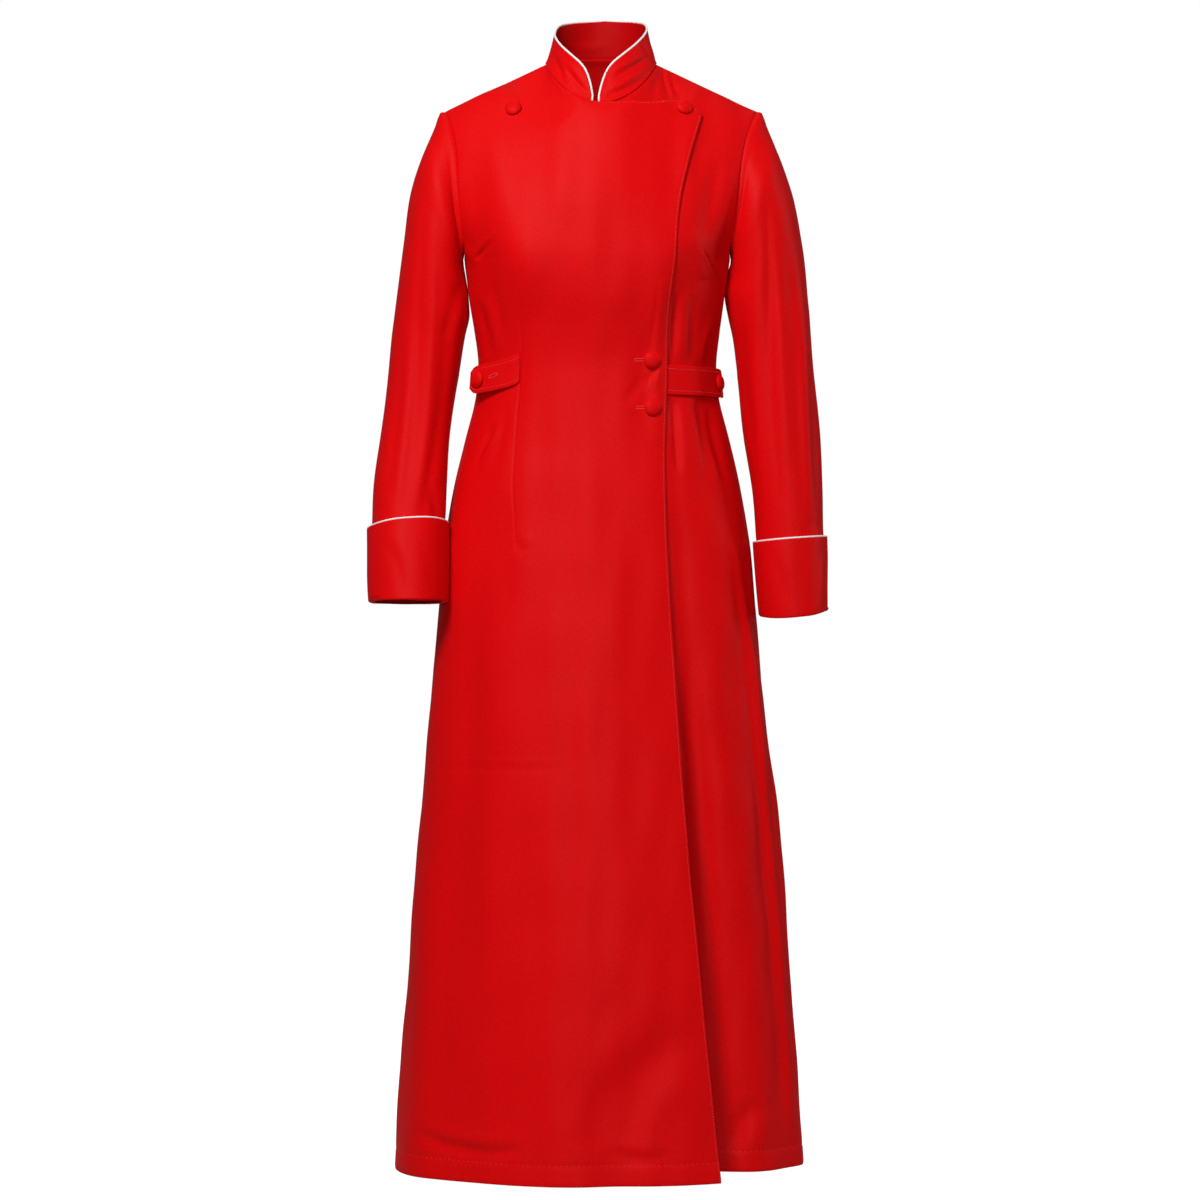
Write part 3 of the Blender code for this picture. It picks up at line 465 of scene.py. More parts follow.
@dataclass(frozen=True)
class RobeForm:
    """The worn robe's outer form, without its creases.

    Attributes:
        lean: How far the shoulders stand to the wearer's left.
        neck_width: Half the neck opening.
        neck_front: Depth of the neck in front of the shoulder seams.
        neck_back: Its depth behind them.
        neck_point_z: Height of the shoulder seam at the neck.
        neck_back_z: Height of the neckline at the centre back.
        shoulder_tip_z: Height of the shoulder seam's outer end.
        neck_rounds: How the neckline's height curves, in front and behind.
        top_slopes: Degrees by which the cloth falls at the top edge: at the shoulder
            seams' inner ends, more at the centre front and back, less at their outer ends.
        top_reach: How far down the cloth keeps that slope.
        lap_lift: The right front's height over the left front.
        lap_rise: Distances past the left front's edge between which the right one rises.
        lap_fade: Heights between which the lift ends below the neck.
        lap_settled: Share of the lift that ends at the neckline over the left front.
        lap_aside: Distances to the right over which all of it ends there.
        lap_levels: Levels over which it does so.
        tab_ease: How much further the lap stands off over the left tab.
        tab_ease_spread: How far from the free edge it does so.
        tab_ease_height: How far up and down.
        yoke_ease: How much further it stands off over the chest.
        yoke_heights: Heights over which that grows.
        left_hem_rise: How much higher the left front's hem is.
        neck_ease: Degrees over which the neckline's shape softens further down.
    """

    lean: float = 0.005
    neck_width: float = 0.069
    neck_front: float = 0.075
    neck_back: float = 0.062
    neck_point_z: float = 0.006
    neck_back_z: float = 0.018
    shoulder_tip_z: float = -0.053
    neck_rounds: tuple[float, float] = (1.6, 1.2)
    top_slopes: tuple[float, float, float, float] = (34, 36, 38, 12)
    top_reach: float = 0.060
    lap_lift: float = 0.0034
    lap_rise: tuple[float, float] = (0.055, 0.004)
    lap_fade: tuple[float, float] = (-0.038, -0.016)
    lap_settled: float = 0.40
    lap_aside: tuple[float, float] = (0.020, 0.050)
    lap_levels: tuple[float, float] = (0.90, 0.99)
    tab_ease: float = 0.0034
    tab_ease_spread: float = 0.030
    tab_ease_height: float = 0.042
    yoke_ease: float = 0.0022
    yoke_heights: tuple[float, float] = (-0.22, -0.14)
    left_hem_rise: float = 0.008
    neck_ease: float = 11.0

    def fold_relief(self, fold: Fold, angle: Array, z: Array) -> Array:
        """How far one long fold moves the cloth outward.

        Args:
            fold: The fold.
            angle: Degrees round the body.
            z: Heights.

        Returns:
            The distance outward for each point.
        """
        share = ramp(fold.start, fold.full, z)
        centre = fold.top_angle + (fold.hem_angle - fold.top_angle) * share
        return bump(fold.depth * share, fold.width, turn_between(angle, centre))

    def relief(self, angle: Array, z: Array) -> Array:
        """All the long folds and the fullness together.

        Args:
            angle: Degrees round the body.
            z: Heights.

        Returns:
            The distance outward for each point.
        """
        total = sum(self.fold_relief(fold, angle, z) for fold in FOLDS)
        for spot in FULLNESS:
            across = turn_between(angle, spot.angle) / spot.spread
            total = total + spot.depth * np.exp(-across ** 2 - ((z - spot.z) / spot.rise) ** 2)
        return total

    def section(self, angle: Array, z: Array) -> tuple[Array, ...]:
        """The plain level section, without folds.

        Args:
            angle: Degrees round the body.
            z: Heights.

        Returns:
            x, y and z of the section's points.
        """
        turn = np.radians(angle)
        across, along = np.sin(turn), np.cos(turn)
        front = smooth(BODY, "front", z) * np.abs(along) ** smooth(BODY, "front_square", z)
        back = smooth(BODY, "back", z) * np.abs(along) ** smooth(BODY, "back_square", z)
        return smooth(BODY, "half_width", z) * across, np.where(along > 0, -front, back), z

    def neckline(self, front: Array, size: Array) -> tuple[Array, Array]:
        """The neckline between the shoulder seams.

        Args:
            front: Whether each point is in front of them.
            size: 0 at the shoulder seams, 1 at the centre front and back.

        Returns:
            y of each point, and its height over the shoulder seams' inner ends.
        """
        before, behind = self.neck_rounds
        y = np.where(front, -self.neck_front, self.neck_back) * size
        return y, np.where(front, (NECK_FRONT_Z - self.neck_point_z) * size ** before,
                           (self.neck_back_z - self.neck_point_z) * size ** behind)

    def top_edge(self, angle: Array) -> tuple[Array, ...]:
        """The neckline and the shoulder seams.

        Args:
            angle: Degrees round the body.

        Returns:
            y and z of the edge, and the slope of the cloth where it arrives.
        """
        across = np.abs(np.sin(np.radians(angle)))
        front = np.cos(np.radians(angle)) > 0
        on_neck = np.clip(across * SHOULDER_WIDTH / self.neck_width, 0.0, 1.0)
        round_neck = np.sqrt(1.0 - on_neck ** 2)
        along = np.clip((across * SHOULDER_WIDTH - self.neck_width)
                        / (SHOULDER_WIDTH - self.neck_width), 0, 1)
        y, drop = self.neckline(front, round_neck)
        z = self.neck_point_z + (self.shoulder_tip_z - self.neck_point_z) * along + drop
        least, before, behind, outer = self.top_slopes
        slope = least + np.where(front, before, behind) * round_neck - outer * along
        return y, z, np.radians(slope)

    def eased_top_edge(self, angle: Array, level: Array) -> tuple[Array, ...]:
        """The top edge as the cloth below feels it, softer the further down it is.

        Args:
            angle: Degrees round the body.
            level: Levels.

        Returns:
            y, z and slope, as top_edge gives them.
        """
        reach = self.neck_ease * ramp(0.0, 0.35, 1 - np.clip(level, 0, 1))
        total = [np.zeros(angle.shape)] * 3
        places = np.linspace(-1.0, 1.0, EASE_STEPS)
        weights = np.exp(-(EASE_TAIL * places) ** 2)
        for place, weight in zip(places, weights / weights.sum()):
            turn = angle + reach * place
            mirrored = np.where(np.cos(np.radians(angle)) * np.cos(np.radians(turn)) < 0,
                                180.0 - turn, turn)
            total = [t + weight * value for t, value in zip(total, self.top_edge(mirrored))]
        return tuple(total)

    def cloth(self, angle: Array, level: Array) -> Array:
        """The robe's outer surface.

        Args:
            angle: Degrees round the body.
            level: Levels, as the file's first lines say.

        Returns:
            The points there.
        """
        angle, level = np.broadcast_arrays(np.asarray(angle, float), np.asarray(level, float))
        below = np.minimum(level, 0.0)
        x0, y0, z0 = self.section(angle, UNDERARM + below)
        _, y_up, _ = self.section(angle, UNDERARM + below + SLOPE_STEP)
        top_y, top_z, slope = self.eased_top_edge(angle, level)
        rise = (top_z - UNDERARM) / 3
        sign = np.where(np.cos(np.radians(angle)) > 0, -1.0, 1.0)
        y1, z1 = y0 + (y_up - y0) * rise / SLOPE_STEP, UNDERARM + rise
        y2 = top_y + sign * self.top_reach * np.cos(slope)
        z2 = top_z - self.top_reach * np.sin(slope)
        t = np.clip(level, 0.0, 1.0)
        weights = (1 - t) ** 3, 3 * t * (1 - t) ** 2, 3 * t * t * (1 - t), t ** 3
        above_y = sum(w * v for w, v in zip(weights, (y0, y1, y2, top_y)))
        above_z = sum(w * v for w, v in zip(weights, (z0, z1, z2, top_z)))
        turn = np.radians(angle)
        above_x = smooth(YOKE, "half_width", t) * np.sin(turn) + self.lean * ramp(0, 1, t)
        up = level > 0
        x, y = np.where(up, above_x, x0), np.where(up, above_y, y0)
        z = np.where(up, above_z, z0)
        out = self.relief(angle, z) * (1 - ramp(0.55, 1.0, level))
        return np.stack([x, y, z], axis=-1) + sideways(angle, out)

    def outward(self, angle: Array, level: Array, turn: float = 0.5, step: float = 0.004) -> Array:
        """Unit normals of the surface.

        Args:
            angle: Degrees round the body.
            level: Levels.
            turn: Degrees to each side that the slope is measured over.
            step: Level up and down that it is measured over.

        Returns:
            A normal for each point.
        """
        level = np.clip(level, -10.0, 1.0 - step)
        across = self.cloth(angle + turn, level) - self.cloth(angle - turn, level)
        up = self.cloth(angle, level + step) - self.cloth(angle, level - step)
        return unit(np.cross(across, up))

    def angle_at(self, x: Array, level: Array) -> Array:
        """The angle on the front where the surface is at x.

        Args:
            x: Distances from the centre front.
            level: Levels.

        Returns:
            Degrees round the body.
        """
        width = np.where(level > 0, smooth(YOKE, "half_width", np.clip(level, 0, 1)),
                         smooth(BODY, "half_width", UNDERARM + np.minimum(level, 0)))
        leaning = self.lean * ramp(0, 1, level)
        return np.degrees(np.arcsin(np.clip((x - leaning) / width, -1, 1)))

    def level_at(self, angle: Array, z: Array) -> Array:
        """The level where the surface is at height z.

        Args:
            angle: Degrees round the body.
            z: Heights.

        Returns:
            Levels.
        """
        low, high = np.zeros_like(angle * z), np.ones_like(angle * z)
        for _ in range(SEARCH_STEPS):
            middle = (low + high) / 2
            under = self.cloth(angle, middle)[..., 2] < z
            low, high = np.where(under, middle, low), np.where(under, high, middle)
        return np.where(z < UNDERARM, z - UNDERARM, (low + high) / 2)

    def lift(self, angle: Array, level: Array) -> Array:
        """How far the right front stands off the surface, to lie over the left front.

        Args:
            angle: Degrees round the body.
            level: Levels.

        Returns:
            The distance outward for each point.
        """
        point = self.cloth(angle, level)
        x, z = point[..., 0], point[..., 2]
        edge = smooth(LAP_EDGE, "x", z)
        start, full = self.lap_rise
        lift = self.lap_lift * ramp(-edge - start, -edge - full, x)
        lift = lift * (1 - ramp(*self.lap_fade, z))
        settled = self.lap_settled + (1 - self.lap_settled) * ramp(*self.lap_aside, -x)
        lift = lift * (1 - settled * ramp(*self.lap_levels, level))
        ease = self.tab_ease * ramp(edge - self.tab_ease_spread,
                                    edge - self.tab_ease_spread / 3, x)
        yoke = self.yoke_ease * ramp(*self.yoke_heights, z) / self.lap_lift
        return lift * (1 + yoke) + bump(ease, self.tab_ease_height, z - TABS[1].sewn_z)

    def lapped(self, angle: Array, level: Array) -> Array:
        """The outer surface of the right front."""
        return (self.cloth(angle, level)
                + self.outward(angle, level) * self.lift(angle, level)[..., None])

    def edge_angle(self, side: int, level: Array) -> Array:
        """The angle, to the far side of the centre front, of a front's free edge.

        Args:
            side: -1 for the wearer's right, 1 for the left.
            level: Levels.

        Returns:
            Degrees from the centre front.
        """
        angle = np.full_like(level, NEAR_THE_EDGE)
        for _ in range(EDGE_ROUNDS):
            z = self.cloth(-side * angle, level)[..., 2]
            angle = np.abs(self.angle_at(-side * smooth(LAP_EDGE, "x", z), level))
        return angle

    def armhole_levels(self, count: int) -> Array:
        """Levels from 0 to 1, at equal distances along the front of the armhole.

        Args:
            count: How many steps there are.

        Returns:
            The levels, one more than the steps.
        """
        fine = np.linspace(0, 1, 400) ** 2
        line = self.cloth(90 - smooth(ARMHOLE, "front", fine), fine)
        return np.interp(np.linspace(0, 1, count + 1),
                         (along := distance_along(line, 0)) / along[-1], fine)

    def armhole(self, side: int, count: int) -> tuple[Array, Array, Array]:
        """The armhole, from the underarm by the front to the shoulder and down the back.

        Args:
            side: -1 for the wearer's right, 1 for the left.
            count: Steps from the underarm to the shoulder.

        Returns:
            Its points, the direction in which the cloth leaves it, and its normals.
        """
        levels = self.armhole_levels(count)
        front = side * (90 - smooth(ARMHOLE, "front", levels))
        back = side * (90 + smooth(ARMHOLE, "back", levels))
        angles = np.concatenate([front, back[-2:0:-1]])
        heights = np.concatenate([levels, levels[-2:0:-1]])
        loop, normals = self.cloth(angles, heights), self.outward(angles, heights)
        normals[[0, count], 1] = 0.0
        normals = unit(normals)
        along = np.roll(loop, -1, axis=0) - np.roll(loop, 1, axis=0)
        return loop, unit(np.cross(along, normals) * side), normals


@dataclass(frozen=True)
class Drape:
    """The creases and the fine unevenness of the cloth, laid over the plain form.

    Attributes:
        creases: The listed creases.
        ripple: Height of the fine unevenness.
        longest: Longest wave of the unevenness.
        shortest: Shortest wave.
        upright: How much the waves lean from the upright, 1 for any way.
        seed: Start of the fixed set of waves.
        waves: How many waves there are.
        growth: How much higher the longer waves are, as a power of their length.
    """

    creases: tuple[Crease, ...] = ()
    ripple: float = 0.00028
    longest: float = 0.240
    shortest: float = 0.040
    upright: float = 0.20
    seed: int = 5
    waves: int = 12
    growth: float = 0.6

    def ripples(self, points: Array) -> Array:
        """The fine unevenness, the same for every piece at the same place.

        Args:
            points: Places on the cloth.

        Returns:
            The distance outward for each point.
        """
        rng = np.random.default_rng(self.seed)
        total = np.zeros(points.shape[:-1])
        for length in np.geomspace(self.longest, self.shortest, self.waves):
            way = unit(rng.normal(size=3) * np.array([1.0, 1.0, self.upright]))
            phase = points @ way * 2 * math.pi / length + rng.uniform(0, 6.28)
            total += np.sin(phase) * self.ripple * (length / self.shortest) ** self.growth
        return total

    def relief(self, points: Array, normals: Array) -> Array:
        """How far the cloth stands out from the plain form.

        Args:
            points: Places on the plain form.
            normals: Its outward directions there.

        Returns:
            The distance outward for each point.
        """
        total = self.ripples(points)
        for crease in self.creases:
            total = total + crease.relief(points, normals[..., 1])
        return total


# ---------------------------------------------------------------- finishes
WHITE = (1.0, 1.0, 1.0, 1.0)


def set_inputs(node: Node, values: dict[str, object]) -> Node:
    """Set a node's inputs.

    Args:
        node: The node.
        values: What each named input is set to.

    Returns:
        The node.
    """
    for name, value in values.items():
        node.inputs[name].default_value = value
    return node


def add_node(tree: Tree, kind: str, values: dict[str, object] | None = None) -> Node:
    """Add a node.

    Args:
        tree: Where it goes.
        kind: Its kind, without the word ShaderNode.
        values: What its named inputs are set to.

    Returns:
        The node.
    """
    return set_inputs(tree.nodes.new(f"ShaderNode{kind}"), values or {})


def wire(tree: Tree, *wires: tuple[Node, str, Node, str | int]) -> None:
    """Join nodes.

    Args:
        tree: The nodes' tree.
        *wires: For each join, a node, its output, the next node and its input.
    """
    for source, output, target, target_input in wires:
        tree.links.new(source.outputs[output], target.inputs[target_input])


def new_material(name: str, values: dict[str, object]) -> tuple[Material, Tree, Node]:
    """Start a material.

    Args:
        name: Its name.
        values: What its shader's named inputs are set to.

    Returns:
        The material, its tree of nodes, and its shader.
    """
    made = bpy.data.materials.new(name)
    made.use_nodes = True
    return made, made.node_tree, set_inputs(made.node_tree.nodes["Principled BSDF"], values)


@dataclass(frozen=True)
class Twill:
    """Smooth polyester twill with a soft dull sheen.

    Attributes:
        name: The material's name.
        colour: The cloth's colour.
        shade: Its colour where the weave lies lower.
        roughness: How dull it is.
        uneven: By how much the dullness varies, down and up.
        shine: Strength of its shine.
        sheen: Strength of the soft sheen at grazing angles.
        sheen_tint: The sheen's colour.
        sheen_roughness: How widely it spreads.
        rib: Width of one twill line.
        rib_turn: Degrees that the twill lines lean.
        rib_wander: How much they wander.
        slub_scale: How close together the slubs are.
        slub_range: How strong a slub has to be to show, and where it shows fully.
        cloud_scale: How close together the duller patches are.
        weave_relief: Strength and height of the twill lines.
        slub_relief: Strength and height of the slubs.
    """

    name: str
    colour: tuple[float, float, float]
    shade: tuple[float, float, float]
    roughness: float = 0.50
    uneven: tuple[float, float] = (0.04, 0.05)
    shine: float = 0.055
    sheen: float = 0.06
    sheen_tint: tuple[float, float, float] = (1.0, 0.06, 0.07)
    sheen_roughness: float = 0.42
    rib: float = 0.0009
    rib_turn: float = 62.0
    rib_wander: float = 0.6
    slub_scale: float = 420.0
    slub_range: tuple[float, float] = (0.30, 0.66)
    cloud_scale: float = 9.0
    weave_relief: tuple[float, float] = (0.15, 0.0002)
    slub_relief: tuple[float, float] = (0.30, 0.0004)

    def make(self) -> Material:
        """Make the material: fine diagonal ribs, slight slubs and uneven dullness.

        Returns:
            The material.
        """
        made, tree, shader = new_material(self.name, {
            "Specular IOR Level": self.shine, "Sheen Weight": self.sheen,
            "Sheen Roughness": self.sheen_roughness, "Sheen Tint": (*self.sheen_tint, 1.0)})
        place = add_node(tree, "TexCoord")
        turned = add_node(tree, "Mapping",
                          {"Rotation": (0.0, 0.0, math.radians(self.rib_turn))})
        ribs = add_node(tree, "TexWave", {"Scale": 2 * math.pi / (20 * self.rib),
                                          "Distortion": self.rib_wander})
        slub = add_node(tree, "TexNoise", {"Scale": self.slub_scale, "Detail": 3.0})
        cloud = add_node(tree, "TexNoise", {"Scale": self.cloud_scale, "Detail": 2.0})
        tone = add_node(tree, "Mix")
        tone.data_type = "RGBA"
        set_inputs(tone, {"A": (*self.shade, 1.0), "B": (*self.colour, 1.0)})
        spread = add_node(tree, "MapRange", dict(zip(("From Min", "From Max"), self.slub_range)))
        dull = add_node(tree, "MapRange", {"To Min": self.roughness - self.uneven[0],
                                           "To Max": self.roughness + self.uneven[1]})
        weave, fluff = (add_node(tree, "Bump", dict(zip(("Strength", "Distance"), relief)))
                        for relief in (self.weave_relief, self.slub_relief))
        wire(tree, (place, "UV", turned, "Vector"), (turned, "Vector", ribs, "Vector"),
             (place, "Object", slub, "Vector"), (place, "Object", cloud, "Vector"),
             (slub, "Fac", spread, "Value"), (spread, "Result", tone, "Factor"),
             (tone, "Result", shader, "Base Color"), (cloud, "Fac", dull, "Value"),
             (dull, "Result", shader, "Roughness"), (ribs, "Fac", weave, "Height"),
             (slub, "Fac", fluff, "Height"), (weave, "Normal", fluff, "Normal"),
             (fluff, "Normal", shader, "Normal"))
        return made


@dataclass(frozen=True)
class Cord:
    """White corded piping, or sewing thread: fine fibres on a round core.

    Attributes:
        name: The material's name.
        colour: The yarn's colour.
        grain: Size of the fibres' unevenness.
        roughness: How dull it is.
        uneven: By how much the dullness varies.
        sheen: Strength of its soft sheen.
        relief: Strength and height of the fibres.
    """

    name: str
    colour: tuple[float, float, float]
    grain: float = 0.0012
    roughness: float = 0.62
    uneven: float = 0.08
    sheen: float = 0.2
    relief: tuple[float, float] = (0.35, 0.0003)

    def make(self) -> Material:
        """Make the material.

        Returns:
            The material.
        """
        made, tree, shader = new_material(self.name, {
            "Base Color": (*self.colour, 1.0), "Sheen Weight": self.sheen})
        place = add_node(tree, "TexCoord")
        fibres = add_node(tree, "TexNoise", {"Scale": 1 / self.grain, "Detail": 2.0})
        dull = add_node(tree, "MapRange", {"To Min": self.roughness - self.uneven,
                                           "To Max": self.roughness + self.uneven})
        raised = add_node(tree, "Bump", dict(zip(("Strength", "Distance"), self.relief)))
        wire(tree, (place, "Object", fibres, "Vector"), (fibres, "Fac", dull, "Value"),
             (dull, "Result", shader, "Roughness"), (fibres, "Fac", raised, "Height"),
             (raised, "Normal", shader, "Normal"))
        return made


@dataclass(frozen=True)
class Paper:
    """The plain pale floor's finish: a white that glows a little, as backlit paper does.

    Attributes:
        name: The material's name.
        colour: The paper's colour.
        roughness: How dull it is.
        shine: Strength of its shine.
        glow: Strength of its own light.
    """

    name: str = "pale_floor"
    colour: tuple[float, float, float] = (0.50, 0.50, 0.50)
    roughness: float = 0.85
    shine: float = 0.1
    glow: float = 1.00

    def make(self) -> Material:
        """Make the material.

        Returns:
            The material.
        """
        made, tree, shader = new_material(self.name, {
            "Base Color": (*self.colour, 1.0), "Roughness": self.roughness,
            "Specular IOR Level": self.shine, "Emission Color": WHITE})
        path = add_node(tree, "LightPath")
        seen = add_node(tree, "Math")
        seen.operation = "MULTIPLY"
        seen.inputs[1].default_value = self.glow
        wire(tree, (path, "Is Camera Ray", seen, 0),
             (seen, "Value", shader, "Emission Strength"))
        return made


@dataclass(frozen=True)
class Finishes:
    """The materials that the pieces share."""

    cloth: Material
    # the slightly darker copy of the cloth on the left front: painted shade under the lap
    under: Material
    # the much darker copy of the cloth on the inner faces: painted shade inside the robe
    reverse: Material
    piping: Material
    thread: Material
    hole_thread: Material


# ---------------------------------------------------------------- mesh building
@dataclass(frozen=True)
class Cut:
    """The flat size a piece was cut to: width, length and true area.

    Attributes:
        width: Width of the cloth it takes.
        length: Length of the cloth it takes.
        area: Area of the piece itself.
        held: How it is held in wear.
    """

    width: float
    length: float
    area: float
    held: str = "hung"


def quads(rows: int, columns: int, closed: bool) -> Array:
    """Corner numbers of a grid's faces.

    Args:
        rows: Its rows of points.
        columns: Its columns.
        closed: Whether the columns run all round.

    Returns:
        Four corner numbers for each face.
    """
    row = np.arange(rows - 1)[:, None]
    column = np.arange(columns if closed else columns - 1)[None, :]
    following = (column + 1) % columns
    here = row * columns
    return np.stack([here + column, here + following, here + columns + following,
                     here + columns + column], axis=-1).reshape(-1, 4)


def add_object(name: str, vertices: Array, faces: Sequence, finish: Material,
               uv: Array | None = None) -> bpy.types.Object:
    """Make a smooth-shaded object.

    Args:
        name: Its name.
        vertices: Its points.
        faces: Corner numbers of each face.
        finish: Its material.
        uv: A place on the flat cloth for each point, in metres.

    Returns:
        The object.
    """
    mesh = bpy.data.meshes.new(name)
    mesh.from_pydata(vertices.tolist(), [], [list(map(int, face)) for face in faces])
    mesh.shade_smooth()
    mesh.materials.append(finish)
    if uv is not None:
        layer = mesh.uv_layers.new(name="cloth")
        corners = np.empty(len(mesh.loops), dtype=np.int32)
        mesh.loops.foreach_get("vertex_index", corners)
        layer.data.foreach_set("uv", uv[corners].ravel())
    made = bpy.data.objects.new(name, mesh)
    bpy.context.scene.collection.objects.link(made)
    return made


@dataclass
class Shell:
    """A piece of cloth: an outer face, an inner one behind it, and a rounded rim.

    Attributes:
        name: The piece's name.
        outer: Rows and columns of points of the outer face.
        wall: The cloth's thickness, one for all or one for each point.
        normals: Outward directions, worked out from the points where left out.
        closed: Whether the columns run all round.
        flip: Whether the rows and columns run the other way round.
        bulge: How far the rim stands out, as a share of the thickness.
    """

    name: str
    outer: Array
    wall: float | Array
    normals: Array | None = None
    closed: bool = False
    flip: bool = False
    bulge: float = 0.42

    def rims(self) -> list[Array]:
        """The grid's borders.

        Returns:
            The point numbers of each border, in order.
        """
        rows, columns = self.outer.shape[:2]
        number = np.arange(rows * columns).reshape(rows, columns)
        if self.closed:
            return [number[0], number[-1, ::-1]]
        return [np.concatenate([number[0], number[1:, -1], number[-1, -2::-1],
                                number[-2:0:-1, 0]])]

    def build(self, finish: Material, inner_face_finish: Material | None = None) -> bpy.types.Object:
        """Make the piece.

        Args:
            finish: Its material.
            inner_face_finish: The material of its inner face, where that is another, such as the
                darker copy of the cloth that paints shade inside the robe.

        Returns:
            The object.
        """
        rows, columns = self.outer.shape[:2]
        wall = np.broadcast_to(self.wall, (rows, columns))[..., None]
        normals = self.normals
        if normals is None:
            normals = grid_normals(self.outer, self.closed, self.flip)
        inner = self.outer - normals * wall
        count = rows * columns
        front = quads(rows, columns, self.closed)
        faces = [front[:, ::-1] if self.flip else front]
        faces.append(faces[0][:, ::-1] + count)
        along = distance_along(self.outer, 0)
        across = distance_along(self.outer, 1)
        uv = np.stack([across, along], axis=-1).reshape(-1, 2)
        vertices = [self.outer.reshape(-1, 3), inner.reshape(-1, 3)]
        places = [uv, uv]
        start = 2 * count
        inside = self.outer[np.clip(np.arange(rows), 1, rows - 2)]
        if not self.closed:
            inside = inside[:, np.clip(np.arange(columns), 1, columns - 2)]
        away = unit(self.outer - inside).reshape(-1, 3)
        for rim in self.rims():
            middle = (vertices[0][rim] + vertices[1][rim]) / 2
            middle += away[rim] * wall.reshape(-1, 1)[rim] * self.bulge
            vertices.append(middle)
            places.append(uv[rim])
            bulge = start + np.arange(len(rim))
            start += len(rim)
            following, bulge_following = np.roll(rim, -1), np.roll(bulge, -1)
            upper = np.stack([following, rim, bulge, bulge_following], axis=-1)
            lower = np.stack([bulge_following, bulge, rim + count, following + count], axis=-1)
            both = np.concatenate([upper, lower])
            faces.append(both[:, ::-1] if self.flip else both)
        made = add_object(self.name, np.concatenate(vertices), np.concatenate(faces), finish,
                          np.concatenate(places))
        # the inner faces take the second material; the robe passes its darker copy of the cloth
        # here, which paints shade inside
        if inner_face_finish is not None:
            made.data.materials.append(inner_face_finish)
            backs = np.zeros(sum(map(len, faces)), dtype=np.int32)
            backs[len(faces[0]):2 * len(faces[0])] = 1
            made.data.polygons.foreach_set("material_index", backs)
        return made


def tube(name: str, path: Array, radius: float, finish: Material, closed: bool = False,
         sides: int = 10) -> bpy.types.Object:
    """A round cord along a path.

    Args:
        name: The piece's name.
        path: Points along its middle.
        radius: Half its thickness.
        finish: Its material.
        closed: Whether it joins up.
        sides: Points round it.

    Returns:
        The object.
    """
    if closed:
        along = unit(np.roll(path, -1, axis=0) - np.roll(path, 1, axis=0))
    else:
        along = unit(np.gradient(path, axis=0))
    up = np.broadcast_to(np.array([0.0, 0.0, 1.0]), along.shape)
    steep = np.abs(along[:, 2:]) > 0.9
    middle = path.mean(axis=0) - path
    aside = unit(np.where(steep, np.cross(along, unit(middle)), np.cross(along, up)))
    for k in range(1, len(aside)):
        if aside[k] @ aside[k - 1] < 0:
            aside[k] *= -1
    other = np.cross(along, aside)
    turns = np.arange(sides) * 2 * math.pi / sides
    ring = (aside[:, None] * np.cos(turns)[:, None] + other[:, None] * np.sin(turns)[:, None])
    points = path[:, None] + ring * radius
    rows = len(path)
    faces = quads(rows, sides, True)
    if closed:
        last = (rows - 1) * sides
        column = np.arange(sides)
        following = (column + 1) % sides
        faces = np.concatenate([faces, np.stack([last + column, last + following, following,
                                                 column], axis=-1)])
        ends = []
    else:
        ends = [list(range(sides))[::-1], list(range((rows - 1) * sides, rows * sides))]
    return add_object(name, points.reshape(-1, 3), [*faces.tolist(), *ends], finish)


# a stitch: places along it, its thickness and its height there, as shares
STITCH = ((-1.0, 0.25, -0.9), (-0.8, 0.85, 0.1), (0.0, 1.0, 0.55), (0.8, 0.85, 0.1),
          (1.0, 0.25, -0.9))
STITCH_SIDES = 6


@dataclass(frozen=True)
class StitchRow:
    """A row of small sewn stitches that lie on the cloth.

    Attributes:
        name: The row's name.
        pitch: Distance from one stitch to the next.
        length: Length of a stitch.
        radius: Half the thread's thickness.
    """

    name: str
    pitch: float = 0.0036
    length: float = 0.0026
    radius: float = 0.00034

    def build(self, lines: Sequence[tuple[Array, Array]], finish: Material) -> bpy.types.Object:
        """Sew the row.

        Args:
            lines: For each run of the row, points on the cloth and its normals there.
            finish: The thread's material.

        Returns:
            The object.
        """
        rings, swell, sink = np.array(STITCH).T
        turns = np.arange(STITCH_SIDES) * 2 * math.pi / STITCH_SIDES
        one = quads(len(rings), STITCH_SIDES, True)
        vertices, faces = [], []
        for path, normals in lines:
            along = distance_along(path, 0)
            middles = np.arange(self.pitch / 2, along[-1], self.pitch)
            place = read_along(middles, along, path)
            normal = unit(read_along(middles, along, normals))
            way = unit(np.gradient(place, axis=0))
            aside = unit(np.cross(way, normal))
            for centre, out, ahead, beside in zip(place, normal, way, aside):
                core = (centre + ahead * rings[:, None] * self.length / 2
                        + out * sink[:, None] * self.radius)
                around = (beside * np.cos(turns)[:, None] + out * np.sin(turns)[:, None])
                points = core[:, None] + around[None] * (swell * self.radius)[:, None, None]
                faces.append(one + len(vertices) * len(rings) * STITCH_SIDES)
                vertices.append(points.reshape(-1, 3))
        return add_object(self.name, np.concatenate(vertices), np.concatenate(faces), finish)


def settle(piece: bpy.types.Object, nodes: Sequence[str] = ()) -> None:
    """Fix a piece to the robe and say what it is.

    Args:
        piece: The piece.
        nodes: The solids it stands for.
    """
    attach(piece, "root")
    if nodes:
        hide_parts(*nodes)
    mesh = piece.data
    LOG.info("%s: %d points, %d faces", piece.name, len(mesh.vertices), len(mesh.polygons))


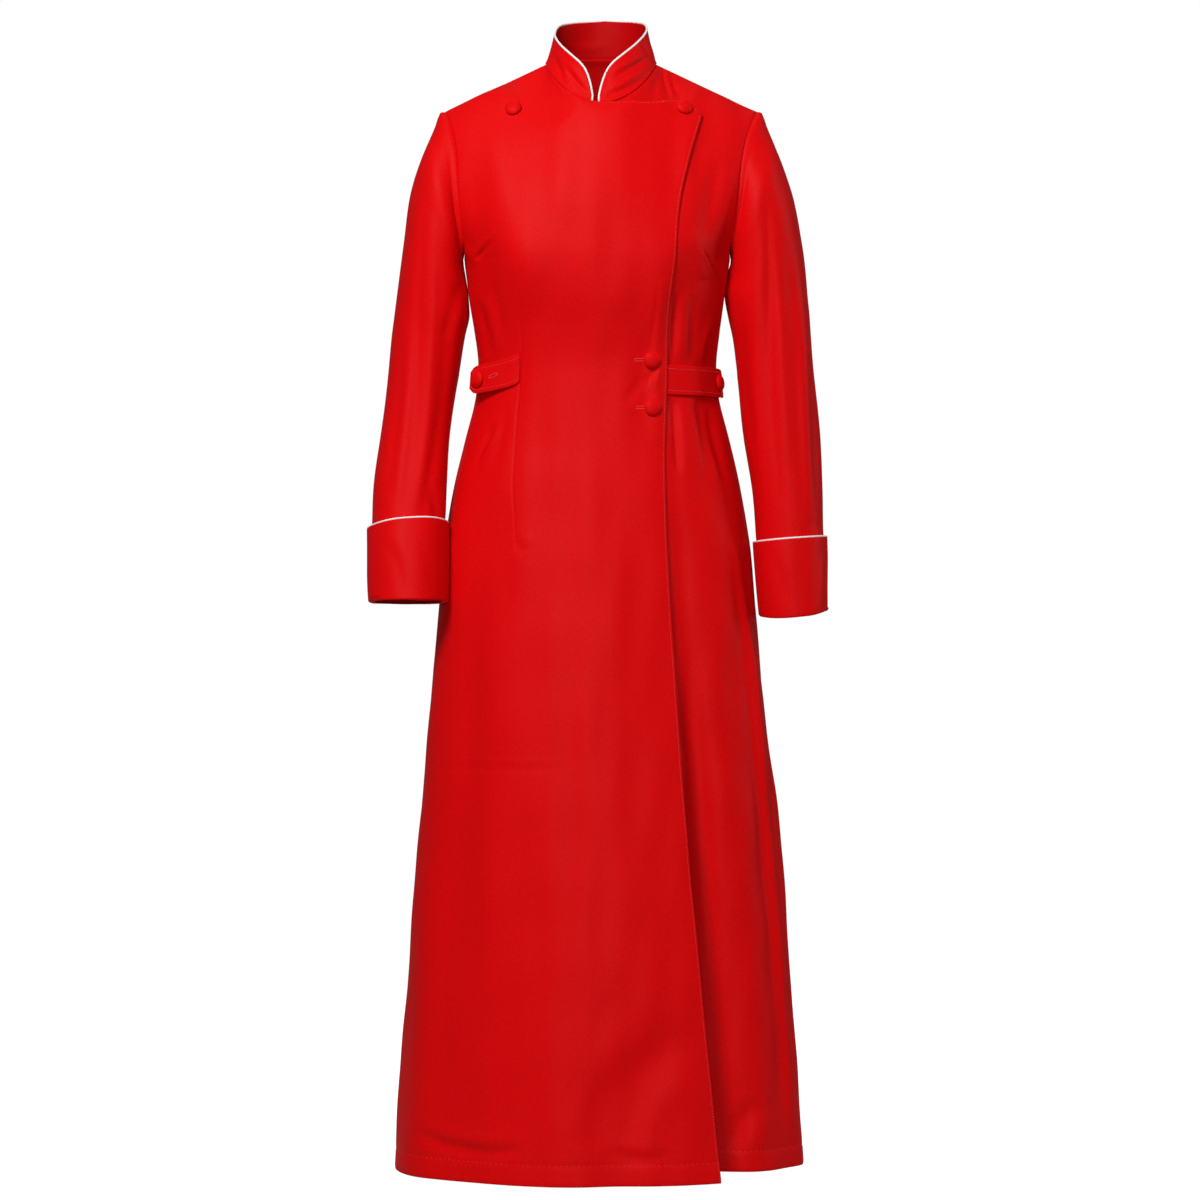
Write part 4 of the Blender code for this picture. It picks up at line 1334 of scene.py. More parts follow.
# ---------------------------------------------------------------- the body's panels
@dataclass
class BodyGrid:
    """How the body's panels are divided: the same rows for all of them.

    Attributes:
        form: The robe's form.
        row_step: Height of a row below the underarm.
        close_rows: Height from which the rows are closer, for the bust darts.
        yoke_rows: Rows from the underarm to the shoulder.
        side_steps: Columns from the side seam to those that end on the neck.
        side_closeness: Power that draws them towards the side seam.
        neck_parts: Finer columns in each step round the neck.
        lap_steps: Columns from the centre front to the free edge.
        hem_turn: Height of the turned-up hem.
        front_neck: Degrees round the neck of the columns that end on a front's neckline.
        back_neck: The same for the back.
        fold_shares: Extra columns of a front near the neck point, where it falls in folds.
        seam_shares: Extra columns beside the side seams.
        lap_shares: Close columns by the free edge.
        neck_spread: Degrees by which the columns of the neck spread further low down.
        least_turn: Degrees by which a front's columns stay apart low down.
        least_rise: Height by which the rows keep clear of the hem's extra ones.
        dart: Heights and distances from the centre front of the long dart, which has close
            columns along it.
        dart_angle: Degrees round the body near the dart.
        dart_aside: Distances of the close columns from the dart's middle.
        close_step: Height of a close row.
        hem_rows: Heights of extra rows over the hem's fold.
        hem_presses: How far the hem is pressed in at its fold and along its stitching.
        press_reach: How far from them it is pressed.
        blind_stitch: The hem stitches' pitch, length and half thickness.
    """

    form: RobeForm
    row_step: float = 0.0054
    close_rows: float = -0.2960
    yoke_rows: int = 48
    side_steps: int = 56
    side_closeness: float = 1.1
    neck_parts: int = 3
    lap_steps: int = 26
    hem_turn: float = 0.025
    front_neck: tuple[float, ...] = (0.0, 4.5, 9.0, 14.0, 20.0, 28.0, 38.0, 50.0, 64.0, 77.0,
                                     90.0)
    back_neck: tuple[float, ...] = (90.0, 108.0, 126.0, 144.0, 162.0, 180.0)
    fold_shares: tuple[float, ...] = (0.858, 0.876, 0.895, 0.914, 0.933, 0.952, 0.971, 0.990)
    seam_shares: tuple[float, ...] = (0.006, 0.047)
    lap_shares: tuple[float, ...] = (0.945, 0.958, 0.972, 0.986, 0.994, 1.0)
    neck_spread: float = 8.0
    least_turn: float = 0.16
    least_rise: float = 0.0009
    dart: tuple[tuple[float, float], ...] = (
        (HEM, 0.170), (-0.600, 0.0990), (-0.518, 0.1038), (-0.450, 0.1000), (-0.370, 0.0945),
        (-0.300, 0.0960), (-0.2457, 0.0977), (-0.050, 0.1000))
    dart_angle: float = 28.0
    dart_aside: tuple[float, ...] = (-0.0040, -0.0020, -0.0008, 0.0008, 0.0020, 0.0040)
    close_step: float = 0.0019
    hem_rows: tuple[float, float] = (0.0012, 0.0028)
    hem_presses: tuple[float, float] = (0.0007, 0.0006)
    press_reach: float = 0.0022
    blind_stitch: tuple[float, float, float] = (0.0070, 0.0022, 0.00028)

    def levels(self) -> Array:
        """Levels of all the rows.

        Returns:
            The levels, from the hem to the shoulders.
        """
        close = np.arange(self.close_rows, UNDERARM - 0.0010, self.close_step)
        low = np.concatenate([np.arange(HEM, close[0] - self.row_step / 2, self.row_step), close])
        hem = HEM + np.array([*self.hem_rows, self.hem_turn - self.press_reach, self.hem_turn,
                              self.hem_turn + self.press_reach])
        clear = np.min(np.abs(low[:, None] - hem[None, :]), axis=1) > self.least_rise
        clear[0] = True
        low = np.sort(np.concatenate([low[clear], hem]))
        return np.concatenate([low - UNDERARM, self.form.armhole_levels(self.yoke_rows)])

    def side_shares(self) -> Array:
        """Columns from the side seam inward, closest together beside the seam."""
        even = np.linspace(0, 1, self.side_steps, endpoint=False) ** self.side_closeness
        return np.sort(np.concatenate([even, self.seam_shares]))

    def neck_columns(self, turns: Array, level: Array) -> Array:
        """Angles of the columns that end on the neckline.

        Args:
            turns: Degrees round the neck where they end.
            level: The level of each row.

        Returns:
            Their angles, for each level.
        """
        widest = math.degrees(math.asin(self.form.neck_width / SHOULDER_WIDTH))
        top = np.degrees(np.arcsin(self.form.neck_width / SHOULDER_WIDTH
                                   * np.sin(np.radians(turns))))
        low = np.linspace(0, widest + self.neck_spread, len(turns))
        return low + (top - low) * ramp(0.0, 0.8, level)[:, None]

    def dart_columns(self, levels: Array) -> Array:
        """Angles of the close columns along the long dart.

        Args:
            levels: The level of each row.

        Returns:
            Their angles, for each level.
        """
        heights, middles = np.array(self.dart).T
        z = self.form.cloth(np.full_like(levels, self.dart_angle), levels)[:, 2]
        middle = np.interp(z, heights, middles)
        return np.stack([self.form.angle_at(middle + aside, levels)
                         for aside in self.dart_aside], axis=1)

    def kept_apart(self, angles: Array, levels: Array) -> Array:
        """Keep columns from falling on each other below the shoulder.

        Args:
            angles: Falling angles of the columns, for each level.
            levels: The level of each row.

        Returns:
            The angles, with the first and last columns where they were.
        """
        least = self.least_turn * (1 - 0.7 * ramp(0.35, 0.70, levels))
        kept = angles.copy()
        for col in range(1, kept.shape[1] - 1):
            kept[:, col] = np.minimum(kept[:, col], kept[:, col - 1] - least)
        for col in range(kept.shape[1] - 2, 0, -1):
            kept[:, col] = np.maximum(kept[:, col], kept[:, col + 1] + least)
        return kept

    def front(self, side: int) -> tuple[Array, Array, int]:
        """Angles and levels of a front, from its side seam to its free edge.

        Args:
            side: -1 for the wearer's right, 1 for the left.

        Returns:
            Angles, levels, and how many columns there are before the centre front.
        """
        levels = self.levels()
        cut = np.where(levels > 0, smooth(ARMHOLE, "front", np.clip(levels, 0, 1)), 0.0)
        neck = self.neck_columns(finer(np.array(self.front_neck), self.neck_parts), levels)
        neck = np.delete(neck[:, ::-1], 1, axis=1)
        shares = np.sort(np.concatenate([self.side_shares(), self.fold_shares]))
        own = (90 - cut)[:, None] + (neck[:, :1] - 90 + cut[:, None]) * shares
        own = np.concatenate([own, neck[:, :-1], self.dart_columns(levels)], axis=1)
        own = self.kept_apart(np.sort(own, axis=1)[:, ::-1], levels)
        lap = np.linspace(0, 1, self.lap_steps + 1)
        lap = np.sort(np.concatenate([lap[:-2], self.lap_shares]))
        lap_level = np.repeat(levels[:, None], len(lap), axis=1)
        high = levels > 0
        for _ in range(6):
            lap_angle = lap * self.form.edge_angle(side, lap_level)
            x = np.abs(self.form.cloth(-side * lap_angle[high], lap_level[high])[..., 0])
            top = self.form.level_at(-side * lap_angle[high], smooth(LAP_TOP, "z", x))
            lap_level[high] = levels[high, None] * np.where(lap > 0, top, 1.0)
        angles = np.concatenate([side * own, -side * lap_angle], axis=1)
        heights = np.concatenate([np.repeat(levels[:, None], own.shape[1], axis=1), lap_level],
                                 axis=1)
        return angles, heights, own.shape[1]

    def back(self) -> tuple[Array, Array]:
        """Angles and levels of the back, from the left side seam round to the right one.

        Returns:
            Angles and levels.
        """
        levels = self.levels()
        cut = np.where(levels > 0, smooth(ARMHOLE, "back", np.clip(levels, 0, 1)), 0.0)
        turns = finer(180 - np.array(self.back_neck)[::-1], 2 * self.neck_parts)
        neck = np.delete(self.neck_columns(turns, levels)[:, ::-1], 1, axis=1)
        shares = self.side_shares()
        left = (90 + cut)[:, None] + (90 - neck[:, :1] - cut[:, None]) * shares
        middle = np.concatenate([180 - neck, 180 + neck[:, -2::-1]], axis=1)
        angles = np.concatenate([left, middle, 360 - left[:, ::-1]], axis=1)
        return angles, np.repeat(levels[:, None], angles.shape[1], axis=1)

    def hem_press(self, from_hem: Array) -> Array:
        """How far a panel is pressed in at its turned-up hem.

        Args:
            from_hem: Each point's distance up from the hem.

        Returns:
            The distance inward for each point.
        """
        fold, sewn = self.hem_presses
        return (bump(fold, self.press_reach, from_hem)
                + bump(sewn, self.press_reach, from_hem - self.hem_turn))

    def sew_hem(self, name: str, points: Array, normals: Array, slot: str, thread: Material
                ) -> None:
        """Sew a panel's turned-up hem with blind stitches.

        Args:
            name: The stitching's name.
            points: The panel's outer face.
            normals: Its outward directions.
            slot: The record's material slot; not used.
            thread: The thread's material.
        """
        from_hem = distance_along(points, 0)
        both = np.concatenate([points, normals], axis=-1)
        hem = np.array([read_along(self.hem_turn, from_hem[:, col], both[:, col])
                        for col in range(points.shape[1])])
        row = StitchRow(name, *self.blind_stitch).build([(hem[:, :3], hem[:, 3:])], thread)
        settle(row)


@dataclass(frozen=True)
class NeckEase:
    """How the cloth passes smoothly from the shoulder to the neckline.

    Attributes:
        form: The robe's form.
        across: How far to each side of the neck points it is evened out.
        whole: Share of that distance within which it is evened out fully.
        longer: How much further down it reaches than across.
        rounds: How often it is evened out.
    """

    form: RobeForm
    across: float = 0.055
    whole: float = 0.45
    longer: float = 1.6
    rounds: int = 240

    def settle(self, points: Array, flip: bool) -> Array:
        """Even a panel out under the neck points, with its edges kept.

        Args:
            points: The panel's rows of points.
            flip: Whether its normals point the other way round.

        Returns:
            The points, moved along their normals only.
        """
        beside = np.abs(np.abs(points[..., 0] - self.form.lean) - self.form.neck_width)
        below = (points[..., 2] - self.form.neck_point_z) / self.longer
        weight = 1 - ramp(self.whole, 1.0, np.hypot(beside, below) / self.across)
        points = points.copy()
        for turn in range(self.rounds):
            if turn % 20 == 0:
                normals = grid_normals(points, False, flip)[1:-1, 1:-1]
            mean = (points[:-2, 1:-1] + points[2:, 1:-1] + points[1:-1, :-2]
                    + points[1:-1, 2:]) / 4 - points[1:-1, 1:-1]
            out = np.sum(mean * normals, axis=-1) * weight[1:-1, 1:-1]
            points[1:-1, 1:-1] += normals * out[..., None]
        return points


@dataclass(frozen=True)
class SeamLook:
    """How the cloth turns in at a sewn seam and lies flat beside it.

    Attributes:
        dip: How far it sinks at the seam.
        reach: How far from the seam the dip reaches.
        calm: How far from the seam the cloth stays plain.
    """

    dip: float = 0.0021
    reach: float = 0.0020
    calm: float = 0.010

    def settle(self, relief: Array, gap: Array) -> Array:
        """The cloth's relief with the seam's dip, given the distance from the seam."""
        return relief * (1 - bump(1.0, self.calm, gap)) - bump(self.dip, self.reach, gap)


@dataclass
class Front:
    """A front of the robe: its cloth, topstitching and turned-up hem.

    Attributes:
        side: -1 for the wearer's right, 1 for the left.
        name: The piece's name.
        grid: How it is divided.
        drape: Its creases.
        cut: Its flat size; not used.
        wall: The cloth's thickness.
        stitch_inset: Distance of the topstitching from the free edge.
        stitch_press: How far, and how widely, the cloth is drawn in along it.
        edge_press: The same for the pressed free edge.
        top_press: The same for the lap's top edge.
        top_thin: How much thinner the cloth is at the top, as a share, and how far down.
        seam: How the cloth turns in at its seams.
    """

    side: int
    name: str
    grid: BodyGrid
    drape: Drape
    cut: Cut
    wall: float = 0.0011
    stitch_inset: float = 0.0024
    stitch_press: tuple[float, float] = (0.0003, 0.0009)
    edge_press: tuple[float, float] = (0.0004, 0.0010)
    top_press: tuple[float, float] = (0.0007, 0.0060)
    top_thin: tuple[float, float] = (0.75, 0.0040)
    seam: SeamLook = field(default_factory=SeamLook)

    def plain(self, angles: Array, levels: Array) -> Array:
        """The front's outer face without creases.

        Args:
            angles: Degrees round the body.
            levels: Levels.

        Returns:
            The points there.
        """
        form = self.grid.form
        if self.side < 0:
            return form.lapped(angles, levels)
        levels = levels + form.left_hem_rise * (1 - ramp(HEM, HEM + 0.3, levels + UNDERARM))
        points = form.cloth(angles, levels)
        return points + sideways(angles, form.fold_relief(RECESS, angles, points[..., 2]))

    def face(self) -> tuple[Array, Array]:
        """The front's outer face with its creases, seams and pressed edges.

        Returns:
            Points and normals.
        """
        form = self.grid.form
        angles, levels, centre = self.grid.front(self.side)
        points = NeckEase(form).settle(self.plain(angles, levels), self.side > 0)
        normals = grid_normals(points, False, self.side > 0)
        from_side = distance_along(points, 1)
        from_edge = from_side[:, -1:] - from_side
        from_hem = distance_along(points, 0)
        from_top = from_hem[-1:] - from_hem
        column = np.arange(points.shape[1])
        sewn_top = np.where(column < centre + 2, 0.0, 1.0)
        gap = np.minimum(from_side, from_top + sewn_top)
        relief = self.drape.relief(points, normals)
        relief = self.seam.settle(relief, gap)
        free = np.minimum(from_edge, from_top + (1 - sewn_top))
        relief = relief - bump(*self.edge_press, from_edge)
        relief = relief - bump(*self.top_press, from_top) * sewn_top
        relief = relief - bump(*self.stitch_press, free - self.stitch_inset)
        relief = relief - self.grid.hem_press(from_hem)
        points = points + normals * relief[..., None]
        normals = grid_normals(points, False, self.side > 0)
        on_seam = np.zeros(levels.shape, bool)
        on_seam[levels[:, 0] <= 0, 0] = True
        on_seam[-1] = self.side * (points[-1, :, 0] - form.lean) > form.neck_width - 0.0005
        normals[on_seam, 1] = 0.0
        return points, unit(normals)

    def stitch_lines(self, points: Array, normals: Array) -> list[tuple[Array, Array]]:
        """Where the topstitching runs: up the free edge and along the top.

        Args:
            points: The outer face.
            normals: Its outward directions.

        Returns:
            Points and normals of each run.
        """
        from_side = distance_along(points, 1)
        from_edge = from_side[:, -1:] - from_side
        from_hem = distance_along(points, 0)
        from_top = from_hem[-1:] - from_hem
        rows, columns = from_edge.shape
        both = np.concatenate([points, normals], axis=-1)

        def across(row: int, inset: float) -> Array:
            """The point of a row at a distance from the free edge."""
            return read_along(inset, from_edge[row, ::-1], both[row, ::-1])

        def down(col: int, inset: float) -> Array:
            """The point of a column at a distance from the top edge."""
            return read_along(inset, from_top[::-1, col], both[::-1, col])

        edge = np.array([across(row, self.stitch_inset) for row in range(rows)
                         if from_top[row, -1] > self.stitch_inset])
        first = np.searchsorted(-from_edge[-1], -self.stitch_inset)
        lap = range(columns - self.grid.lap_steps - 6, int(first))
        top = np.array([down(col, self.stitch_inset) for col in lap])
        return [(run[:, :3], run[:, 3:]) for run in (edge, top)]

    def build(self, finish: Material, reverse: Material, thread: Material) -> None:
        """Make the front and its stitching.

        Args:
            finish: The cloth's material.
            reverse: The much darker copy of the cloth on its inner face, which paints shade there.
            thread: The stitching's material.
        """
        points, normals = self.face()
        from_hem = distance_along(points, 0)
        thin = 1 - bump(*self.top_thin, from_hem[-1:] - from_hem)
        # the inner face takes the much darker copy of the cloth: painted shade inside the robe
        panel = Shell(self.name, points, self.wall * thin, normals,
                      flip=self.side > 0).build(finish, reverse)
        word = "right" if self.side < 0 else "left"
        slot = "red_cloth" if self.side < 0 else "red_cloth_under"
        settle(panel, [f"{word}_front"])
        lines = self.stitch_lines(points, normals)
        settle(StitchRow(f"{word}_front_topstitching").build(lines, thread))
        self.grid.sew_hem(f"{word}_front_hem_stitching", points, normals, slot, thread)


@dataclass
class Back:
    """The back of the robe, with its turned-up hem.

    Attributes:
        grid: How it is divided.
        drape: Its creases.
        cut: Its flat size; not used.
        wall: The cloth's thickness.
        seam: How the cloth turns in at its seams.
    """

    grid: BodyGrid
    drape: Drape
    cut: Cut
    wall: float = 0.0011
    seam: SeamLook = field(default_factory=SeamLook)

    def face(self) -> tuple[Array, Array]:
        """The back's outer face with its creases and seams.

        Returns:
            Points and normals.
        """
        angles, levels = self.grid.back()
        points = self.grid.form.cloth(angles, levels)
        normals = grid_normals(points)
        from_left = distance_along(points, 1)
        from_right = from_left[:, -1:] - from_left
        from_hem = distance_along(points, 0)
        from_top = from_hem[-1:] - from_hem
        gap = np.minimum(np.minimum(from_left, from_right), from_top)
        relief = self.seam.settle(self.drape.relief(points, normals), gap)
        relief = relief - self.grid.hem_press(from_hem)
        points = points + normals * relief[..., None]
        normals = grid_normals(points)
        on_seam = np.zeros(levels.shape, bool)
        low = levels[:, 0] <= 0
        count = len(self.grid.side_shares())
        on_seam[low, 0] = on_seam[low, -1] = True
        on_seam[-1, :count + 1] = on_seam[-1, -count - 1:] = True
        normals[on_seam, 1] = 0.0
        return points, unit(normals)

    def build(self, finishes: Finishes) -> None:
        """Make the back and its hem's stitching.

        Args:
            finishes: The shared materials.
        """
        points, normals = self.face()
        # the inner face takes the much darker copy of the cloth: painted shade inside the robe
        panel = Shell("back_panel", points, self.wall, normals).build(finishes.cloth,
                                                                      finishes.reverse)
        settle(panel, ["back"])
        self.grid.sew_hem("back_hem_stitching", points, normals, "red_cloth", finishes.thread)


# ---------------------------------------------------------------- sleeves and cuffs
CORD_SINK = 0.0001      # how far a piping cord is drawn into the edge it is sewn to


def ring_points(ring: Ring, side: int, turns: Array) -> Array:
    """Points round a sleeve or cuff, from the body side by the front to the outer side.

    Args:
        ring: The ring's sizes.
        side: -1 for the wearer's right, 1 for the left.
        turns: Radians round it.

    Returns:
        The points.
    """
    x = (ring.in_x + ring.out_x) / 2 - (ring.out_x - ring.in_x) / 2 * np.cos(turns)
    z = (ring.in_z + ring.out_z) / 2 - (ring.out_z - ring.in_z) / 2 * np.cos(turns)
    y = ring.y - ring.half_depth * np.sin(turns)
    return np.stack([side * x, y, z + ring.rise * np.sin(turns)], axis=-1)


def loft_rows(rings: Sequence[Array], count: int) -> Array:
    """Rings at even distances along a smooth loft through the given rings.

    Args:
        rings: Rings of points, in order.
        count: How many rings to make.

    Returns:
        The new rings.
    """
    stack = np.array(rings)
    steps = np.linalg.norm(np.diff(stack, axis=0), axis=2).mean(axis=1)
    places = np.concatenate([[0], np.cumsum(steps)])
    return smooth_curve(places, stack, np.linspace(0, places[-1], count))


@dataclass
class Sleeve:
    """A set-in sleeve with its head eased into the armhole.

    Attributes:
        side: -1 for the wearer's right, 1 for the left.
        name: The piece's name.
        node: The solid it stands for.
        form: The robe's form.
        rings: The sleeve's table.
        drape: Its creases.
        cut: Its flat size; not used.
        yoke_rows: Half the points round it.
        rows: Rings down it.
        wall: The cloth's thickness.
        puff: How far the head swells past the seam, how widely, and how far below it.
        gather: The same for its small gathers.
        head_turns: Degrees round the sleeve, from the body side, over which the head grows.
        leave_turns: Degrees over which the sleeve comes to leave the armhole outward.
        first_step: How far the first ring is from the seam, and how much more on the head.
        underarm_drop: How much lower that ring is under the arm.
        inner_seam: How far the cloth sinks along the sleeve's own seam.
        seam: How the cloth turns in at the armhole.
    """

    side: int
    name: str
    node: str
    form: RobeForm
    rings: tuple[Ring, ...]
    drape: Drape
    cut: Cut
    yoke_rows: int = 48
    rows: int = 118
    wall: float = 0.0011
    puff: tuple[float, float, float] = (0.0014, 0.010, 0.011)
    gather: tuple[float, float, float] = (0.0002, 0.009, 0.006)
    head_turns: tuple[float, float] = (70, 120)
    leave_turns: tuple[float, float] = (10, 75)
    first_step: tuple[float, float] = (0.0014, 0.0050)
    underarm_drop: float = 0.0020
    inner_seam: float = 0.0002
    seam: SeamLook = field(default_factory=SeamLook)

    def face(self) -> tuple[Array, Array]:
        """The sleeve's outer face, from the armhole to the cuff's fold.

        Returns:
            Points and normals.
        """
        count = 2 * self.yoke_rows
        turns = np.arange(count) * 2 * math.pi / count
        loop, leave, seam = self.form.armhole(self.side, self.yoke_rows)
        nearest = np.minimum(turns, 2 * math.pi - turns)
        away = ramp(*np.radians(self.leave_turns), nearest)[:, None]
        out = unit(leave * away + np.array([self.side * 1.0, 0.0, 0.0]) * (1 - away))
        least, more = self.first_step
        second = loop + out * (least + more * away)
        second[:, 2] -= self.underarm_drop * (1 - away[:, 0])
        parts = np.array([0.25, 0.55])[:, None, None]
        between = loop[None] + (second - loop)[None] * parts
        given = [second] + [ring_points(ring, self.side, turns) for ring in self.rings]
        points = np.concatenate([loop[None], between, loft_rows(given, self.rows)])
        normals = grid_normals(points, True, self.side > 0)
        normals[0] = unit(normals[0] * (1 - away) + seam * away)
        gap = distance_along(points, 0)
        head = ramp(*np.radians(self.head_turns), nearest)
        relief = self.seam.settle(self.drape.relief(points, normals), gap)
        ease = (np.sin(turns * 46) + np.sin(turns * 31 + 1.0)) / 2
        for share, (height, spread, below) in ((1.0, self.puff), (ease, self.gather)):
            relief = relief + bump(height * head * share, spread, gap - below)
        relief[4:, 0] -= self.inner_seam
        points = points + normals * relief[..., None]
        normals = grid_normals(points, True, self.side > 0)
        normals[0] = unit(normals[0] * (1 - away) + seam * away)
        return points, normals

    def build(self, finish: Material) -> None:
        """Make the sleeve.

        Args:
            finish: The cloth's material.
        """
        points, normals = self.face()
        tube_of_cloth = Shell(self.name, points, self.wall, normals, True, self.side > 0)
        settle(tube_of_cloth.build(finish), [self.node])


@dataclass
class Cuff:
    """A deep turned-back cuff with piping on its top edge.

    Attributes:
        side: -1 for the wearer's right, 1 for the left.
        word: "right" or "left".
        rings: The cuff's table: top edge and bottom fold.
        sleeve_end: The sleeve's last ring.
        drape: Its creases.
        cut: Its flat size; not used.
        wall: The doubled cloth's thickness.
        piping: Diameter of the piping.
        points_round: Points round it.
        rows: Rows down its face.
        hollow: How far its face is drawn in between the edge and the fold.
        curl: Half the thickness of its bottom fold.
        foot_gap: How far inside the sleeve's end it is sewn.
        seam_dip: How far the cloth sinks at its seam.
    """

    side: int
    word: str
    rings: tuple[Ring, Ring]
    sleeve_end: Ring
    drape: Drape
    cut: Cut
    wall: float = 0.0020
    piping: float = 0.0023
    points_round: int = 72
    rows: int = 22
    hollow: float = 0.0009
    curl: float = 0.0022
    foot_gap: float = 0.0016
    seam_dip: float = 0.0007

    def face(self) -> Array:
        """The cuff's outer face, from its top edge round the fold to its foot inside.

        Returns:
            The points.
        """
        turns = np.arange(self.points_round) * 2 * math.pi / self.points_round
        top, fold = (ring_points(ring, self.side, turns) for ring in self.rings)
        inside = ring_points(self.sleeve_end, self.side, turns)
        inward = unit(inside.mean(axis=0) - inside)
        foot = inside + inward * self.foot_gap
        foot[:, 2] = fold[:, 2]
        share = np.concatenate([[0.0, 0.012], np.linspace(0.04, 0.975, self.rows)])
        rows = [top + (fold - top) * s - inward * self.hollow * math.sin(math.pi * s)
                for s in share]
        for turn in np.radians([22.5, 45.0, 67.5, 90.0]):
            rows.append(fold + inward * self.curl * (1 - math.cos(turn))
                        + np.array([0.0, 0.0, self.curl]) * (1 - math.sin(turn)))
        rows += [foot + (rows[-1] - foot) * s for s in (0.66, 0.33, 0.0)]
        points = np.array(rows)
        normals = grid_normals(points, True, self.side > 0)
        relief = self.drape.relief(points, normals)
        relief[-7:] *= np.linspace(1, 0, 7)[:, None]
        relief[:, 0] -= self.seam_dip
        return points + normals * relief[..., None]

    def build(self, finish: Material, trim: Material) -> None:
        """Make the cuff and its piping.

        Args:
            finish: The cloth's material.
            trim: The piping's.
        """
        points = self.face()
        cuff = Shell(f"{self.word}_turned_cuff", points, self.wall, None, True,
                     self.side > 0).build(finish)
        settle(cuff, [f"{self.word}_cuff"])
        top = points[0]
        inward = unit(top.mean(axis=0) - top)
        path = top + inward * self.wall / 2
        path[:, 2] += self.piping / 2 - CORD_SINK
        cord = tube(f"{self.word}_cuff_cord", path, self.piping / 2, trim, closed=True)
        settle(cord, [f"{self.word}_cuff_piping"])


# ---------------------------------------------------------------- collar
@dataclass
class Collar:
    """The stand collar, rounded at its front ends, with piping round its free edge.

    Attributes:
        form: The robe's form.
        drape: Its creases.
        cut: Its flat size; not used.
        start: Degrees round the neck of the left end.
        stop: Degrees of the right end.
        lean_height: Height over which the stand leans inward.
        rim_width: Half-width of the top edge.
        rim_front: Depth of the top edge in front.
        rim_back: Depth of the top edge behind.
        wall: The doubled cloth's thickness.
        piping: Diameter of the piping.
        columns: Half the points along it.
        rows: Rows up it.
        rim_setback: How far back the top edge is set.
        bow: How far its middle is drawn in.
        tuck: How far its sewn edge goes below the neckline.
        roll: How far the sewn edge rolls out over the body, and how widely.
    """

    form: RobeForm
    drape: Drape
    cut: Cut
    start: float = -1.2
    stop: float = 349.8
    lean_height: float = 0.038
    rim_width: float = 0.0583
    rim_front: float = 0.067
    rim_back: float = 0.056
    wall: float = 0.0021
    piping: float = 0.0026
    columns: int = 64
    rows: int = 40
    rim_setback: float = 0.002
    bow: float = 0.0012
    tuck: float = 0.0006
    roll: tuple[float, float] = (0.0007, 0.0030)

    def turns(self) -> Array:
        """Degrees round the neck, closest together at the rounded front ends.

        Returns:
            The degrees, from the left end round to the right one.
        """
        share = np.linspace(0, 1, self.columns) ** 1.7
        left = self.start + (180 - self.start) * share
        right = self.stop - (self.stop - 180) * share
        return np.concatenate([left, right[-2::-1]])

    def point(self, turn: Array, share: Array) -> Array:
        """A point of the collar's outer face.

        Args:
            turn: Degrees round the neck.
            share: Share of the height there.

        Returns:
            The points there.
        """
        form = self.form
        across, along = np.sin(np.radians(turn)), np.cos(np.radians(turn))
        front, size = along > 0, np.abs(along)
        base_y, drop = form.neckline(front, size)
        base_z = form.neck_point_z + drop
        rim_y = np.where(front, -self.rim_front, self.rim_back) * size + self.rim_setback
        rim_z = smooth(COLLAR_RIM, "z", np.minimum(turn - self.start, self.stop - turn))
        lean = share * np.clip((rim_z - base_z) / self.lean_height, 0, 1)
        x = (form.neck_width + (self.rim_width - form.neck_width) * lean) * across + form.lean
        y = base_y + (rim_y - base_y) * lean
        bow = self.bow * np.sin(math.pi * np.clip(lean, 0, 1))
        x, y = x - bow * across, y + bow * along
        z = base_z - self.tuck + (rim_z - base_z + self.tuck) * share
        return np.stack([x, y, z], axis=-1)

    def build(self, finishes: Finishes) -> None:
        """Make the collar and its piping.

        Args:
            finishes: The shared materials.
        """
        turns = self.turns()
        shares = np.concatenate([[0.0, 0.012], np.linspace(0.030, 0.97, self.rows), [1.0]])
        rows = np.array([self.point(turns, share) for share in shares])
        normals = grid_normals(rows)
        calm = np.sin(math.pi * np.clip(shares, 0, 1))[:, None] ** 0.7
        relief = self.drape.relief(rows, normals) * calm
        up = distance_along(rows, 0)
        rows = rows + normals * (relief + bump(*self.roll, up))[..., None]
        # the inner face takes the much darker copy of the cloth: painted shade inside the collar
        collar = Shell("stand_collar", rows, self.wall).build(finishes.cloth, finishes.reverse)
        settle(collar, ["collar"])
        edge = np.concatenate([rows[0][:1], rows[-1], rows[0][-1:]])
        facing = edge - np.array([self.form.lean, -0.005, 0.0])
        facing[:, 2] = 0
        out = unit(np.cross(facing, np.gradient(edge, axis=0)))
        out *= np.where(out[len(out) // 2, 2] > 0, 1, -1)
        path = edge + out * (self.piping / 2 - CORD_SINK) - unit(facing) * self.wall / 2
        cord = tube("collar_cord", path, self.piping / 2, finishes.piping)
        settle(cord, ["collar_piping"])


# ---------------------------------------------------------------- tabs, buttons, buttonholes
FACING_TURN, FACING_RISE = 3.0, 0.010   # steps over which a button's facing is measured


